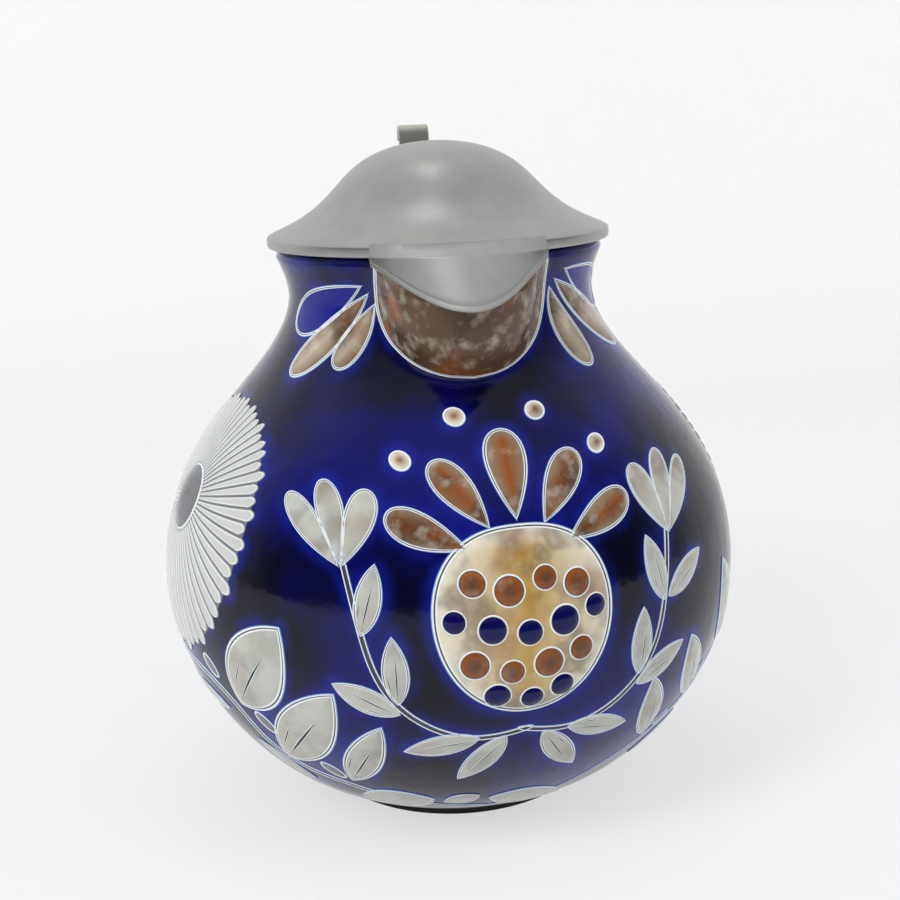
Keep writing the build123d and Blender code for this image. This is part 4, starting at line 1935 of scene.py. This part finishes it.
@dataclass
class Hinge:
    """The band round the handle, its bracket, clasp and rivets, the tang and the pin."""

    edge: float = 0.00028
    jug_nodes: tuple[str, ...] = ("handle_band", "band_clasp", "clasp_rivets", "hinge_bracket")
    lid_nodes: tuple[str, ...] = ("lid_tang",)

    def soften(self, node: str, body: str, material: bpy.types.Material) -> bpy.types.Object:
        """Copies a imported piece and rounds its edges, as filing leaves them.

        Args:
            node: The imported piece.
            body: The body that it rides on.
            material: Its finish.

        Returns:
            The softened piece.
        """
        piece = frame["nodes"][node].copy()
        piece.data = piece.data.copy()
        piece.name = f"{node}_filed"
        piece.data.name = piece.name
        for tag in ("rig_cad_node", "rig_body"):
            if tag in piece:
                del piece[tag]
        piece.parent = None
        bpy.context.scene.collection.objects.link(piece)
        turn_outwards(piece, flatten=1.0)
        bevel = piece.modifiers.new("filed_edges", "BEVEL")
        bevel.limit_method = "ANGLE"
        bevel.angle_limit = math.radians(50)
        bevel.width = self.edge
        bevel.segments = 2
        apply_modifiers(piece)
        piece.data.materials.clear()
        piece.data.materials.append(material)
        smooth(piece, 35.0)
        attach(piece, body)
        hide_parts(node)
        log.info("%s: %d faces", piece.name, len(piece.data.polygons))
        return piece

    def build(self, pewter: bpy.types.Material, steel: bpy.types.Material) -> None:
        """Softens every piece of the hinge.

        Args:
            pewter: The finish of the castings.
            steel: The finish of the pin.
        """
        for node in self.jug_nodes:
            self.soften(node, JUG, pewter)
        for node in self.lid_nodes:
            self.soften(node, LID, pewter)
        self.soften("hinge_pin", JUG, steel)


@dataclass(frozen=True)
class Softbox:
    """A soft light that faces the jug, with its power in watts."""

    name: str
    place: Place
    size: Pair
    watts: float
    mirrored: bool = False


@dataclass
class Studio:
    """The pale sweep, the soft lights and the camera."""

    camera_place: Place = (-0.0517, -0.4325, 0.2146)
    camera_heading: float = 7.0
    camera_pitch: float = 14.0
    camera_roll: float = 2.07
    lens: float = 56.0
    wall_reach: float = 0.46
    sweep_size: float = 3.2
    corner_width: float = 0.006
    aim: Place = (0, 0, 0.1)
    room: Colour = (0.96, 0.98, 1.0, 1.0)
    room_strength: float = 0.95
    behind_span: tuple[float, ...] = (-0.3, 0.5, 0.13, 1.0)
    above_span: tuple[float, ...] = (0.45, 0.95, 0.0, 0.5)
    softboxes: tuple[Softbox, ...] = (
        Softbox("window_left", (-0.9, -0.7, 0.95), (0.5, 0.7), 14.0),
        Softbox("fill_right", (0.9, -0.4, 0.7), (0.8, 0.8), 5.5),
        Softbox("strip_above", (-0.045, 0.13, 1.15), (0.05, 0.2), 0.34, mirrored=True),
    )

    def build_sweep(self, material: bpy.types.Material) -> bpy.types.Object:
        """Lays the sweep: a floor whose back edge is raised into a wall.

        Args:
            material: The sweep's finish.

        Returns:
            The sweep.
        """
        half = self.sweep_size / 2
        bpy.ops.object.select_all(action="DESELECT")
        bpy.ops.mesh.primitive_plane_add(size=self.sweep_size, location=(0, self.wall_reach - half, 0))
        sweep = bpy.context.object
        sweep.name = "pale_sweep"
        bpy.ops.object.transform_apply(location=True, rotation=True, scale=True)
        bpy.ops.object.mode_set(mode="EDIT")
        work = bmesh.from_edit_mesh(sweep.data)
        for edge in work.edges:
            edge.select_set(all(point.co.y > self.wall_reach - 0.01 for point in edge.verts))
        bmesh.update_edit_mesh(sweep.data)
        bpy.ops.mesh.extrude_edges_move(TRANSFORM_OT_translate={"value": (0, 0, half)})
        bpy.ops.object.mode_set(mode="OBJECT")
        bevel = sweep.modifiers.new("soft_corner", "BEVEL")
        bevel.width = self.corner_width
        bevel.segments = 4
        apply_modifiers(sweep)
        sweep.data.materials.append(material)
        smooth(sweep, 60.0)
        return sweep

    def build_camera(self) -> bpy.types.Object:
        """Sets the camera at the photograph's place.

        Returns:
            The camera.
        """
        data = bpy.data.cameras.new("camera")
        data.lens = self.lens
        data.sensor_width = 36.0
        data.clip_start = 0.01
        camera = bpy.data.objects.new("camera", data)
        bpy.context.scene.collection.objects.link(camera)
        heading = Matrix.Rotation(math.radians(-self.camera_heading), 4, "Z")
        pitch = Matrix.Rotation(math.radians(90 - self.camera_pitch), 4, "X")
        roll = Matrix.Rotation(math.radians(-self.camera_roll), 4, "Z")
        camera.matrix_world = Matrix.Translation(self.camera_place) @ heading @ pitch @ roll
        bpy.context.scene.camera = camera
        return camera

    def add_softbox(self, box: Softbox) -> None:
        """Hangs a soft light.

        Args:
            box: The light, which shows in the glaze only where it is mirrored.
        """
        data = bpy.data.lights.new(box.name, "AREA")
        data.shape = "RECTANGLE"
        data.size, data.size_y = box.size
        data.energy = box.watts
        lamp = bpy.data.objects.new(box.name, data)
        lamp.visible_glossy = box.mirrored
        bpy.context.scene.collection.objects.link(lamp)
        lamp.location = box.place
        aim = Vector(self.aim) - Vector(box.place)
        lamp.rotation_euler = aim.to_track_quat("-Z", "Y").to_euler()

    def build_world(self) -> None:
        """Lights the jug from a pale room that is darker behind the camera."""
        world = bpy.data.worlds.new("room")
        world.use_nodes = True
        bpy.context.scene.world = world
        sheet = NodeSheet(world.node_tree)
        direction = sheet.add("ShaderNodeTexCoord").outputs["Generated"]
        parts = sheet.add("ShaderNodeSeparateXYZ", {0: direction}).outputs
        behind = sheet.span(parts["Y"], *self.behind_span)
        above = sheet.span(parts["Z"], *self.above_span)
        seen = sheet.add("ShaderNodeLightPath").outputs["Is Camera Ray"]
        total = sheet.plus(sheet.plus(behind, above), seen)
        strength = sheet.at_most(total, self.room_strength)
        sheet.feed(world.node_tree.nodes["Background"], {"Color": self.room, "Strength": strength})

    def build(self) -> None:
        """Sets the stage round the jug."""
        self.build_sweep(SweepFinish().build())
        self.build_camera()
        self.build_world()
        for box in self.softboxes:
            self.add_softbox(box)
        bpy.context.scene.view_settings.view_transform = "Standard"


def main() -> None:
    """Builds the jug, its lid and the stage, in order."""
    logging.basicConfig(level=logging.INFO, format="%(message)s")
    glaze = GlazeFinish().build()
    pewter = PEWTER.build()
    steel = STEEL.build()
    form = PotForm()
    outlines = Decoration(form, glaze).build()
    Pot(form).build(glaze, outlines)
    Handle().build(glaze)
    lid = Lid()
    lid.build_shell(pewter)
    lid.build_cover(pewter)
    lid.build_lift(WORN.build())
    Hinge().build(pewter, steel)
    Studio().build()


if __name__ == "__main__":
    main()
